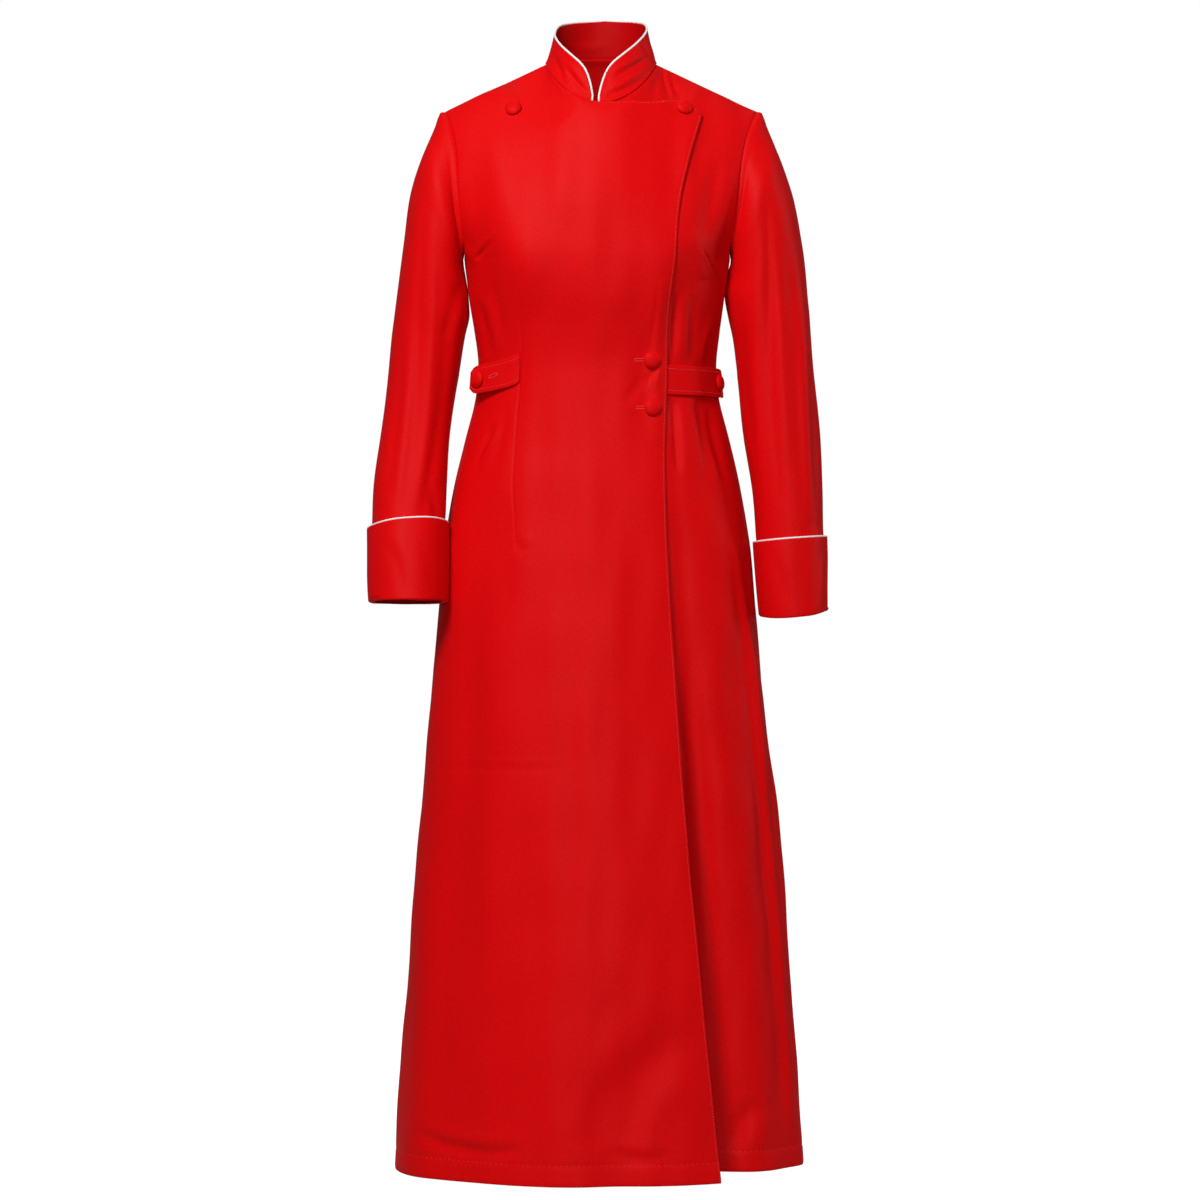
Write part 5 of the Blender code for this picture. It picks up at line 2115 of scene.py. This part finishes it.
@dataclass
class CoveredButton:
    """A button covered with the robe's own cloth.

    Attributes:
        name: The piece's name.
        node: The solid it stands for.
        radius: Half its width.
        height: How far it stands up.
        steps: Points round it.
        pleats: Small pleats where the cloth is drawn under its rim.
        pleat_depth: Their depth, as a share of the radius.
        plain: Share of the radius inside which there are none.
    """

    name: str
    node: str
    radius: float = 0.0105
    height: float = 0.0060
    steps: int = 48
    pleats: int = 13
    pleat_depth: float = 0.012
    plain: float = 0.55

    def build(self, seat: Array, normal: Array, finish: Material) -> None:
        """Make the button.

        Args:
            seat: Where its foot is.
            normal: The way it faces.
            finish: Its cloth.
        """
        places = np.arange(len(BUTTON), dtype=float)
        fine = np.linspace(0, len(BUTTON) - 1, 25)[1:]
        radius = smooth_curve(places, np.array([p.radius for p in BUTTON]), fine) * self.radius
        height = smooth_curve(places, np.array([p.height for p in BUTTON]), fine) * self.height
        side = unit(np.cross([0.0, 0.0, 1.0], normal))
        up = np.cross(normal, side)
        turns = np.arange(self.steps) * 2 * math.pi / self.steps
        drawn = np.clip(radius / self.radius - self.plain, 0, 1) / (1 - self.plain)
        wave = np.sin(turns * self.pleats + 0.7 * np.sin(turns * 3)) * drawn[:, None]
        wide = radius[:, None] * (1 + self.pleat_depth * wave)
        rings = (seat + side * (wide * np.cos(turns))[..., None]
                 + up * (wide * np.sin(turns))[..., None] + normal * height[:, None, None])
        top = seat + normal * self.height
        vertices = np.concatenate([[top], rings.reshape(-1, 3), [seat]])
        faces = (quads(len(radius), self.steps, True)[:, ::-1] + 1).tolist()
        last = 1 + (len(radius) - 1) * self.steps
        for k in range(self.steps):
            following = (k + 1) % self.steps
            faces.append([0, 1 + k, 1 + following])
            faces.append([len(vertices) - 1, last + following, last + k])
        local = (vertices - seat) @ np.stack([side, up], axis=1)
        button = add_object(self.name, vertices, faces, finish, local)
        settle(button, [self.node])


@dataclass(frozen=True)
class Buttonhole:
    """A worked buttonhole: an oval of close stitches round a cut.

    Attributes:
        name: The piece's name.
        length: Its length.
        width: Its width.
        thread: Half the thickness of its stitched edge.
        lift: How far its middle line stands off the cloth.
        steps: Points round it.
    """

    name: str
    length: float = 0.0150
    width: float = 0.0030
    thread: float = 0.00055
    lift: float = 0.0002
    steps: int = 56

    def build(self, middle: Array, along: Array, normal: Array, finish: Material) -> None:
        """Make the buttonhole.

        Args:
            middle: Its middle, on the cloth.
            along: The way it runs.
            normal: The cloth's outward direction.
            finish: The thread's material.
        """
        along = unit(along - normal * (along @ normal))
        aside = np.cross(normal, along)
        turns = np.arange(self.steps) * 2 * math.pi / self.steps
        straight = (self.length - self.width) / 2
        path = (middle + along * (np.cos(turns) * self.width / 2
                                  + np.sign(np.cos(turns)) * straight)[:, None]
                + aside * (np.sin(turns) * self.width / 2)[:, None] + normal * self.lift)
        ring = tube(self.name, path, self.thread, finish, closed=True, sides=8)
        settle(ring)


@dataclass
class Waist:
    """The two waist tabs with their buttons, and a spare buttonhole.

    Attributes:
        form: The robe's form.
        fronts: The two fronts, whose cloth the tabs lie on.
        width: Width of a tab.
        gap: How loosely a tab lies on the cloth.
        wall: Thickness of the doubled cloth.
        sewn_down: How far its sewn end is drawn down to the cloth.
        half_widths: Its half width along its length, as shares of the full one.
        columns: Points along a tab.
        rows: Rows across it.
        button_seat: How far its button's foot is off the cloth.
        end_press: How far, and how widely, its pressed edge is drawn in.
        stitch_inset: Distance of its topstitching from the edge.
        stitch_press: How far, and how widely, the cloth is drawn in along it.
        spare: Angles and heights of two places on the right tab, between which the spare
            buttonhole points.
        cuts: Each tab's flat size; not used.
    """

    form: RobeForm
    fronts: dict[str, Front]
    width: float = 0.036
    gap: float = 0.0019
    wall: float = 0.0014
    sewn_down: float = 0.0020
    half_widths: tuple[float, ...] = (1.0,) * 9 + (0.985, 0.90, 0.60)
    columns: int = 56
    rows: int = 15
    button_seat: float = 0.0005
    end_press: tuple[float, float] = (0.0005, 0.0014)
    stitch_inset: float = 0.0045
    stitch_press: tuple[float, float] = (0.0003, 0.0016)
    spare: tuple[tuple[float, float], ...] = ((-56.5, -0.3880), (-54.5, -0.3865))
    cuts: dict[str, Cut] = field(default_factory=lambda: {
        "right": Cut(0.090, 0.037, 0.0031, "stretched"),
        "left": Cut(0.150, 0.037, 0.0054, "stretched")})

    def lying(self, tab: Tab, angle: Array, level: Array) -> Array:
        """Points of the tab's outer face over the cloth beneath it.

        Args:
            tab: The tab.
            angle: Degrees round the body.
            level: Levels.

        Returns:
            The points there.
        """
        surface = self.form.lapped if tab.side < 0 else self.form.cloth
        normals = self.form.outward(angle, level)
        points = surface(angle, level)
        relief = self.fronts[tab.name].drape.ripples(points)
        past = np.abs(angle) - tab.sewn_angle
        share = np.clip(past / (tab.free_angle - tab.sewn_angle), 0, 1.2)
        relief = relief + tab.stand * share ** 1.5
        if tab.side < 0:
            relief = relief - bump(self.sewn_down, 3.0, past)
        return points + normals * (relief + self.gap + self.wall)[..., None]

    def face(self, tab: Tab) -> Array:
        """The outer face of a tab, which tapers to its free end.

        Args:
            tab: The tab.

        Returns:
            Its rows of points.
        """
        along = np.linspace(0, 1, self.columns)
        angle = tab.side * (tab.sewn_angle + (tab.free_angle - tab.sewn_angle) * along)
        middle = tab.sewn_z + (tab.free_z - tab.sewn_z) * np.sqrt(along)
        places = np.linspace(0, 1, len(self.half_widths))
        half = self.width / 2 * smooth_curve(places, np.array(self.half_widths), along)
        shares = np.concatenate([[-1.0, -0.97], np.linspace(-0.92, 0.92, self.rows), [0.97, 1.0]])
        level = middle + half * shares[:, None] - UNDERARM
        rows = self.lying(tab, np.broadcast_to(angle, level.shape), level)
        normals = grid_normals(rows, False, tab.side < 0)
        near_edge = (1 - np.abs(shares))[:, None] * half[None, :]
        from_end = distance_along(rows, 1)
        from_end = from_end[:, -1:] - from_end
        edge = np.minimum(near_edge, from_end)
        pressed = bump(*self.end_press, edge) + bump(*self.stitch_press, edge - self.stitch_inset)
        return rows - normals * pressed[..., None]

    def stitches(self, tab: Tab, rows: Array) -> list[tuple[Array, Array]]:
        """The topstitching round a tab's edge.

        Args:
            tab: The tab.
            rows: The tab's outer face.

        Returns:
            Points and normals of its one run.
        """
        normals = grid_normals(rows, False, tab.side < 0)
        both = np.concatenate([rows, normals], axis=-1)
        down = distance_along(rows, 0)
        columns = range(rows.shape[1] - 3)
        low = [read_along(self.stitch_inset, down[:, col], both[:, col]) for col in columns]
        high = [read_along(down[-1, col] - self.stitch_inset, down[:, col], both[:, col])
                for col in columns]
        end = [both[row, -4] for row in range(3, rows.shape[0] - 3)]
        run = np.array([*low, *end, *high[::-1]])
        return [(run[:, :3], run[:, 3:])]

    def build(self, finishes: Finishes) -> None:
        """Make the tabs, their buttons and the spare buttonhole.

        Args:
            finishes: The shared materials.
        """
        for tab in TABS:
            rows = self.face(tab)
            piece = Shell(f"{tab.name}_tab", rows, self.wall, None, False,
                          tab.side < 0).build(finishes.cloth)
            settle(piece, [f"{tab.name}_waist_tab"])
            row = StitchRow(f"{tab.name}_tab_topstitching", pitch=0.0034).build(
                self.stitches(tab, rows), finishes.thread)
            settle(row)
            share = (tab.button_angle - tab.sewn_angle) / (tab.free_angle - tab.sewn_angle)
            angle = np.array([tab.side * float(tab.button_angle)])
            level = np.array([tab.sewn_z + (tab.free_z - tab.sewn_z) * math.sqrt(share)
                              - UNDERARM])
            around = (self.lying(tab, angle + FACING_TURN, level)
                      - self.lying(tab, angle - FACING_TURN, level))
            up = (self.lying(tab, angle, level + FACING_RISE)
                  - self.lying(tab, angle, level - FACING_RISE))
            normal = unit(np.cross(around, up))[0]
            seat = self.lying(tab, angle, level)[0] + normal * self.button_seat
            CoveredButton(f"{tab.name}_tab_covered_button", f"{tab.name}_tab_button").build(
                seat, normal, finishes.cloth)
        tab = TABS[0]
        angle, heights = np.array(self.spare).T
        level = heights - UNDERARM
        points = self.lying(tab, angle, level)
        up = self.lying(tab, angle, level + FACING_RISE) - points
        normal = unit(np.cross(points[1] - points[0], up[0]))
        Buttonhole("spare_buttonhole", 0.0125).build(points[0], points[1] - points[0], normal,
                                                     finishes.hole_thread)


@dataclass
class Fastening:
    """The four covered buttons of the front and the worked buttonholes beside two of them.

    Attributes:
        form: The robe's form.
        front: The front that the buttons lie on.
        button_seat: How far a button's foot is off the cloth.
        hole_aside: How far a buttonhole's middle is to the side of its button.
    """

    form: RobeForm
    front: Front
    button_seat: float = 0.0003
    hole_aside: float = 0.0135

    def place(self, x: float, z: float) -> tuple[Array, Array, Array]:
        """A place on the right front's cloth.

        Args:
            x: Distance from the centre front.
            z: Height.

        Returns:
            The point, the cloth's outward direction there, and the way across it.
        """
        level = np.array([0.5 if z > UNDERARM else z - UNDERARM])
        for _ in range(8):
            angle = self.form.angle_at(np.array([x]), level)
            level = self.form.level_at(angle, np.array([z]))
        step = FACING_RISE if level[0] < 0 else 5 * FACING_RISE
        around = (self.form.lapped(angle + FACING_TURN, level)
                  - self.form.lapped(angle - FACING_TURN, level))
        up = self.form.lapped(angle, level + step) - self.form.lapped(angle, level - step)
        normal = unit(np.cross(around, up))
        point = self.form.lapped(angle, level)
        relief = self.front.drape.relief(point, normal)
        return (point + normal * relief[:, None])[0], normal[0], unit(around)[0]

    def build(self, finishes: Finishes) -> None:
        """Make the buttons and buttonholes.

        Args:
            finishes: The shared materials.
        """
        for number, button in enumerate(FRONT_BUTTONS, 1):
            point, normal, across = self.place(button.x, button.z)
            CoveredButton(f"front_covered_button_{number}", f"front_button_{number}").build(
                point + normal * self.button_seat, normal, finishes.cloth)
            if button.z < UNDERARM:
                point, normal, across = self.place(button.x - self.hole_aside, button.z)
                Buttonhole(f"front_buttonhole_{number}").build(point, across, normal,
                                                               finishes.hole_thread)


# ---------------------------------------------------------------- studio
@dataclass
class Studio:
    """The camera, the pale floor and the soft lights.

    Attributes:
        eye: Where the camera is.
        lens: Its focal length on a 36 mm frame.
        floor_z: Height of the floor.
        ambient: Strength of the light from all round.
        floor_size: Half the round floor's width.
        floor_sides: Points round it.
        floor_back: How far back its middle is.
        lit_at: The place that the lights face.
        lights: For each soft light, where it stands, its width, height and power in watts.
    """

    eye: tuple[float, float, float] = (0.00375, -5.5, -0.665)
    lens: float = 132.0
    floor_z: float = -1.392
    ambient: float = 0.12
    floor_size: float = 1.7
    floor_sides: int = 96
    floor_back: float = 0.9
    lit_at: tuple[float, float, float] = (0.0, 0.0, -0.6)
    lights: tuple[tuple[str, tuple[float, float, float], float, float, float], ...] = (
        ("key", (-0.95, -2.3, 1.45), 0.8, 0.8, 73.0),
        ("fill", (0.0, -4.2, 0.0), 0.5, 0.5, 38.0),
        ("side", (2.6, 0.2, 0.2), 0.4, 1.8, 16.0),
        ("top", (0.0, 0.6, 2.4), 1.8, 1.8, 6.0))

    def add_light(self, name: str, place: tuple[float, float, float], width: float, height: float,
                  power: float) -> None:
        """Add a soft light that faces the robe's middle.

        Args:
            name: The light's name.
            place: Where it stands.
            width: Its width.
            height: Its height.
            power: Its power in watts.
        """
        data = bpy.data.lights.new(name, "AREA")
        data.shape, data.size, data.size_y, data.energy = "RECTANGLE", width, height, power
        lamp = bpy.data.objects.new(name, data)
        lamp.location = place
        facing = Vector(self.lit_at) - Vector(place)
        lamp.rotation_euler = facing.to_track_quat("-Z", "Y").to_euler()
        bpy.context.scene.collection.objects.link(lamp)

    def build(self) -> None:
        """Set up the camera, floor and lights."""
        data = bpy.data.cameras.new("camera")
        data.lens, data.sensor_width = self.lens, 36.0
        camera = bpy.data.objects.new("camera", data)
        camera.matrix_world = Matrix.Translation(self.eye) @ Matrix.Rotation(
            math.radians(90), 4, "X")
        bpy.context.scene.collection.objects.link(camera)
        bpy.context.scene.camera = camera
        turns = np.arange(self.floor_sides) * 2 * math.pi / self.floor_sides
        edge = np.stack([np.cos(turns) * self.floor_size,
                         np.sin(turns) * self.floor_size + self.floor_back,
                         np.full(self.floor_sides, self.floor_z)], axis=1)
        floor = add_object("floor", edge, [list(range(self.floor_sides))], Paper().make())
        world = bpy.data.worlds.new("studio")
        world.use_nodes = True
        tree = world.node_tree
        around = set_inputs(tree.nodes["Background"], {"Color": WHITE, "Strength": self.ambient})
        behind = add_node(tree, "Background", {"Color": WHITE})
        path, chosen = add_node(tree, "LightPath"), add_node(tree, "MixShader")
        wire(tree, (path, "Is Camera Ray", chosen, "Fac"), (around, "Background", chosen, 1),
             (behind, "Background", chosen, 2),
             (chosen, "Shader", tree.nodes["World Output"], "Surface"))
        bpy.context.scene.world = world
        bpy.context.scene.view_settings.view_transform = "Standard"
        for light in self.lights:
            self.add_light(*light)


# ---------------------------------------------------------------- the robe's own creases
FRONT_CREASES = (
    # bust darts, from the armholes
    Crease(((-0.15, -0.243), (-0.144, -0.237), (-0.137, -0.23), (-0.124, -0.2215)),
           -0.0024, 0.0026, 0.6),
    Crease(((-0.162, -0.227), (-0.157, -0.238), (-0.15, -0.25)), 0.0024, 0.0045),
    Crease(((0.131, -0.235), (0.14, -0.248), (0.15, -0.264), (0.159, -0.28)),
           -0.0034, 0.0018, -0.6),
    Crease(((0.118, -0.21), (0.126, -0.24), (0.133, -0.27)), 0.0026, 0.01),
    # long darts down the right front
    Crease(((-0.0977, -0.24), (-0.096, -0.3), (-0.0945, -0.36), (-0.0965, -0.4), (-0.1, -0.45),
            (-0.1038, -0.518), (-0.101, -0.57), (-0.0985, -0.605)), -0.0011, 0.0013),
    Crease(((-0.0977, -0.26), (-0.0945, -0.37), (-0.1, -0.45), (-0.103, -0.55)),
           -0.0014, 0.01, 0.3),
    Crease(((-0.0985, -0.59), (-0.094, -0.6), (-0.086, -0.606)), -0.0014, 0.006, 0.8),
    Crease(((0.0755, -0.27), (0.0735, -0.3), (0.069, -0.335), (0.0649, -0.364)),
           -0.0016, 0.0022, 0.5),
    # the edge of the lap, drawn taut at the waist
    Crease(((0.08, -0.27), (0.0755, -0.33), (0.0745, -0.4), (0.076, -0.48)), 0.0022, 0.0085),
    # creases drawn towards the waist buttons and tabs
    Crease(((0.0757, -0.375), (0.069, -0.386), (0.0612, -0.401)), -0.0026, 0.0036, 0.6),
    Crease(((0.056, -0.39), (0.046, -0.406), (0.033, -0.425)), -0.0012, 0.006, 0.4),
    Crease(((-0.127, -0.45), (-0.138, -0.469), (-0.152, -0.495)), -0.0034, 0.0042, 0.6),
    Crease(((-0.1345, -0.457), (-0.144, -0.473), (-0.156, -0.49)), 0.0022, 0.004),
    Crease(((-0.112, -0.423), (-0.118, -0.46), (-0.129, -0.51)), -0.0016, 0.007, 0.4),
    Crease(((-0.151, -0.295), (-0.14, -0.33), (-0.1345, -0.362)), -0.0026, 0.006, 0.5),
    Crease(((-0.129, -0.275), (-0.123, -0.31), (-0.119, -0.35)), -0.0013, 0.007, -0.4),
    Crease(((0.098, -0.29), (0.096, -0.325), (0.0935, -0.37)), -0.0034, 0.0055, 0.5),
    Crease(((0.118, -0.29), (0.119, -0.33), (0.117, -0.372)), -0.0022, 0.0055, -0.4),
    Crease(((0.15, -0.32), (0.142, -0.345), (0.136, -0.374)), -0.0034, 0.004, -0.6),
    Crease(((0.0935, -0.418), (0.096, -0.45), (0.101, -0.51)), -0.0034, 0.0055, 0.5),
    Crease(((0.123, -0.416), (0.13, -0.45), (0.14, -0.51)), -0.0028, 0.0055, -0.5),
    Crease(((0.1385, -0.43), (0.148, -0.475), (0.16, -0.525)), -0.0034, 0.0055, -0.5),
    # drawn from the neck point to the upper button
    Crease(((0.0713, -0.012), (0.0694, -0.027), (0.0688, -0.045)), -0.0024, 0.0042),
    Crease(((0.08, -0.007), (0.0844, -0.025), (0.0905, -0.044)), -0.0034, 0.0024, 0.6),
    Crease(((0.0875, -0.014), (0.0967, -0.029), (0.1075, -0.044)), -0.0028, 0.0032, 0.4),
    Crease(((0.13, -0.09), (0.126, -0.115), (0.123, -0.15)), -0.002, 0.009, -0.5),
    Crease(((0.15, -0.12), (0.142, -0.17), (0.13, -0.22)), -0.0026, 0.01, 0.5),
    # the underlap: shadowed behind the lap, with a crisp fold near its side
    Crease(((0.093, -0.46), (0.1, -0.58), (0.115, -0.76), (0.129, -0.95), (0.145, -1.15),
            (0.165, -1.33)), -0.003, 0.012),
    Crease(((0.168, -0.59), (0.187, -0.72), (0.199, -0.84), (0.214, -1.0), (0.228, -1.16),
            (0.24, -1.32)), 0.0056, 0.0046, -0.4),
    # broad soft folds of the skirt
    Crease(((-0.15, -0.64), (-0.161, -0.82), (-0.175, -1.03), (-0.19, -1.26)), -0.002, 0.015, 0.4),
    Crease(((-0.085, -0.66), (-0.09, -0.85), (-0.098, -1.07), (-0.106, -1.28)),
           -0.0012, 0.014, -0.4),
    Crease(((-0.028, -0.7), (-0.032, -0.91), (-0.037, -1.13)), -0.0008, 0.013, 0.4),
    Crease(((0.04, -0.56), (0.038, -0.76), (0.034, -0.97)), -0.0007, 0.012, -0.4),
    Crease(((-0.208, -0.869), (-0.15, -0.87), (-0.09, -0.869), (-0.03, -0.872)),
           -0.001, 0.0022, 0.6),
    Crease(((0.1208, -1.1876), (0.0556, -1.2238), (0.01, -1.27), (-0.0144, -1.3287)),
           -0.0036, 0.024, -0.3),
    Crease(((0.1087, -1.2358), (0.07, -1.285), (0.0484, -1.3372)), 0.002, 0.018),
    Crease(((0.015, -1.14), (-0.01, -1.21), (-0.04, -1.3)), -0.0014, 0.015, 0.4),
    Crease(((-0.22, -1.318), (-0.18, -1.331), (-0.13, -1.334), (-0.09, -1.328)),
           -0.0042, 0.007, 0.5),
    Crease(((0.01, -1.33), (0.05, -1.339), (0.09, -1.336)), -0.0022, 0.0065, 0.5),
    Crease(((0.19, -1.28), (0.175, -1.31), (0.165, -1.34)), -0.005, 0.012, 0.5),
)
BACK_CREASES = (
    Crease(((-0.085, -0.2), (-0.08, -0.33), (-0.084, -0.48), (-0.092, -0.59)),
           -0.0014, 0.003, 0.3, Face.BACK),
    Crease(((0.088, -0.21), (0.082, -0.34), (0.086, -0.47), (0.095, -0.6)),
           -0.0014, 0.003, -0.3, Face.BACK),
    Crease(((-0.12, -0.42), (-0.06, -0.436), (0.01, -0.43)), -0.0034, 0.0085, 0.5, Face.BACK),
    Crease(((0.125, -0.405), (0.07, -0.425), (0.02, -0.421)), -0.003, 0.008, -0.4, Face.BACK),
    Crease(((0.15, -0.23), (0.12, -0.2), (0.1, -0.15)), -0.0032, 0.009, 0.5, Face.BACK),
    Crease(((-0.152, -0.24), (-0.125, -0.212), (-0.11, -0.165)), -0.0028, 0.0085, -0.5, Face.BACK),
    Crease(((-0.13, -0.36), (-0.11, -0.395), (-0.07, -0.405)), -0.0026, 0.0075, 0.5, Face.BACK),
    Crease(((0.135, -0.34), (0.118, -0.378), (0.08, -0.392)), -0.0024, 0.007, -0.5, Face.BACK),
)
RIGHT_SLEEVE_CREASES = (
    # close against the body below the armhole
    Crease(((-0.1652, -0.25), (-0.1626, -0.27), (-0.16, -0.3)), 0.0018, 0.004),
    # the inner side hangs nearly flat
    Crease(((-0.179, -0.14), (-0.181, -0.24), (-0.178, -0.3), (-0.184, -0.371), (-0.197, -0.466),
            (-0.203, -0.57)), 0.0058, 0.013),
    Crease(((-0.214, -0.17), (-0.22, -0.3), (-0.226, -0.43), (-0.239, -0.57)),
           -0.0024, 0.007, 0.4),
    Crease(((-0.183, -0.27), (-0.192, -0.39), (-0.205, -0.5), (-0.213, -0.56)),
           -0.003, 0.006, -0.5),
    Crease(((-0.201, -0.25), (-0.207, -0.38), (-0.218, -0.53)), 0.0018, 0.005),
    Crease(((-0.205, -0.53), (-0.201, -0.55), (-0.198, -0.57)), -0.0034, 0.0045, 0.6),
    Crease(((-0.24, -0.33), (-0.248, -0.44), (-0.257, -0.54)), -0.0022, 0.007, 0.4),
    Crease(((-0.175, -0.272), (-0.18, -0.305), (-0.188, -0.34)), -0.003, 0.0055, 0.5),
    Crease(((-0.205, -0.22), (-0.213, -0.36), (-0.225, -0.52)), -0.0028, 0.0085, 0.5, Face.BACK),
    Crease(((-0.186, -0.36), (-0.205, -0.372), (-0.235, -0.365)), -0.003, 0.009, 0.5, Face.BACK),
    Crease(((-0.19, -0.42), (-0.215, -0.43), (-0.245, -0.415)), -0.0024, 0.009, 0.4, Face.BACK),
)
LEFT_SLEEVE_CREASES = (
    # close against the body below the armhole
    Crease(((0.1655, -0.248), (0.164, -0.264), (0.1612, -0.286)), 0.0026, 0.004),
    # the outer side hangs nearly flat
    Crease(((0.23, -0.15), (0.242, -0.25), (0.249, -0.35), (0.258, -0.466), (0.266, -0.57)),
           0.0045, 0.013),
    Crease(((0.209, -0.15), (0.213, -0.27), (0.215, -0.4), (0.226, -0.55)), -0.0026, 0.006, 0.4),
    Crease(((0.197, -0.25), (0.1975, -0.38), (0.206, -0.54)), 0.002, 0.005),
    Crease(((0.236, -0.22), (0.243, -0.32), (0.247, -0.42), (0.257, -0.56)), -0.003, 0.006, 0.5),
    Crease(((0.225, -0.24), (0.229, -0.36), (0.237, -0.5)), 0.0018, 0.0055),
    Crease(((0.179, -0.29), (0.183, -0.38), (0.193, -0.48)), -0.0024, 0.0055, -0.5),
    Crease(((0.261, -0.36), (0.268, -0.47), (0.274, -0.56)), -0.0022, 0.006, 0.4),
    Crease(((0.208, -0.23), (0.217, -0.37), (0.229, -0.53)), -0.0028, 0.0085, -0.5, Face.BACK),
    Crease(((0.184, -0.365), (0.21, -0.378), (0.245, -0.37)), -0.003, 0.009, -0.5, Face.BACK),
    Crease(((0.195, -0.44), (0.225, -0.452), (0.255, -0.438)), -0.0024, 0.009, -0.4, Face.BACK),
)
COLLAR_CREASES = (
    Crease(((-0.056, 0.015), (-0.047, -0.006), (-0.042, -0.026)), -0.0018, 0.0036, 0.6),
    Crease(((-0.042, 0.0), (-0.029, -0.02), (-0.013, -0.04)), -0.0018, 0.0034, 0.6),
    Crease(((-0.064, 0.008), (-0.058, -0.008), (-0.052, -0.02)), 0.0014, 0.0036),
    Crease(((0.023, -0.018), (0.042, -0.006), (0.064, 0.009)), -0.0021, 0.0036, 0.7),
    Crease(((0.012, -0.043), (0.036, -0.033), (0.068, -0.014)), -0.0022, 0.0034, 0.7),
    Crease(((0.035, -0.02), (0.048, -0.016), (0.06, -0.004)), 0.0014, 0.0034),
    Crease(((0.053, 0.03), (0.06, 0.019), (0.069, 0.006)), -0.0018, 0.003, 0.6),
    Crease(((-0.05, 0.04), (-0.02, 0.03), (0.015, 0.036)), -0.0009, 0.006, 0.5, Face.BACK),
)
CUFF_CREASES = (
    Crease(((-0.26, -0.59), (-0.245, -0.62), (-0.238, -0.655)), -0.0014, 0.0065, 0.5),
    Crease(((-0.215, -0.59), (-0.208, -0.62), (-0.205, -0.655)), -0.0012, 0.006, -0.5),
    Crease(((0.278, -0.6), (0.272, -0.635), (0.27, -0.67)), -0.0014, 0.005, 0.5),
    Crease(((0.218, -0.605), (0.228, -0.64), (0.232, -0.67)), -0.0012, 0.007, -0.5),
)


def main() -> None:
    """Dress the robe, piece by piece."""
    logging.basicConfig(level=logging.INFO, format="%(name)s: %(message)s")
    Studio().build()
    finishes = Finishes(
        cloth=Twill("red_twill", (0.76, 0.0022, 0.0034), (0.66, 0.0018, 0.0028)).make(),
        # a slightly darker copy of the cloth for the left front's outer face: painted shade where
        # it lies under the lap
        under=Twill("red_twill_under_painted_shade", (0.74, 0.0022, 0.0034), (0.64, 0.0018, 0.0028)).make(),
        # a much darker copy of the cloth with no sheen for the inner faces of the fronts, back and
        # collar: painted shade inside the robe
        reverse=Twill("red_twill_inside_painted_shade", (0.54, 0.0016, 0.0026), (0.48, 0.0013, 0.0022),
                      sheen=0.0).make(),
        piping=Cord("white_cord", (0.93, 0.92, 0.92)).make(),
        thread=Cord("red_thread", (0.80, 0.006, 0.009), 0.0004, 0.5).make(),
        hole_thread=Cord("red_buttonhole_thread", (0.80, 0.020, 0.026), 0.0004, 0.5).make())
    form = RobeForm()
    grid = BodyGrid(form)
    front_drape = Drape(FRONT_CREASES)
    right = Front(-1, "right_front_panel", grid, front_drape, Cut(0.50, 1.36, 0.52))
    left = Front(1, "left_front_panel", grid, front_drape, Cut(0.50, 1.36, 0.52))
    # both fronts take the much darker copy on their inner faces, and the left front the slightly
    # darker copy outside: painted shade
    right.build(finishes.cloth, finishes.reverse, finishes.thread)
    left.build(finishes.under, finishes.reverse, finishes.thread)
    Back(BodyGrid(form, side_steps=44), Drape(BACK_CREASES),
         Cut(0.78, 1.42, 0.756)).build(finishes)
    Collar(form, Drape(COLLAR_CREASES, 0.00012),
           Cut(0.42, 0.052, 0.0196, "stretched")).build(finishes)
    for side, word, rings, flat in ((-1, "right", RIGHT_SLEEVE, Cut(0.40, 0.60, 0.166)),
                                    (1, "left", LEFT_SLEEVE, Cut(0.40, 0.62, 0.171))):
        drape = Drape(RIGHT_SLEEVE_CREASES if side < 0 else LEFT_SLEEVE_CREASES, 0.00040,
                      shortest=0.090)
        Sleeve(side, f"{word}_set_in_sleeve", f"{word}_sleeve", form, rings, drape,
               flat).build(finishes.cloth)
    for side, word, rings, end, flat in (
            (-1, "right", RIGHT_CUFF, RIGHT_SLEEVE[-1], Cut(0.33, 0.13, 0.031)),
            (1, "left", LEFT_CUFF, LEFT_SLEEVE[-1], Cut(0.33, 0.13, 0.0285))):
        Cuff(side, word, rings, end, Drape(CUFF_CREASES), flat).build(finishes.cloth,
                                                                      finishes.piping)
    Waist(form, {"right": right, "left": left}).build(finishes)
    Fastening(form, right).build(finishes)


if __name__ == "__main__":
    main()
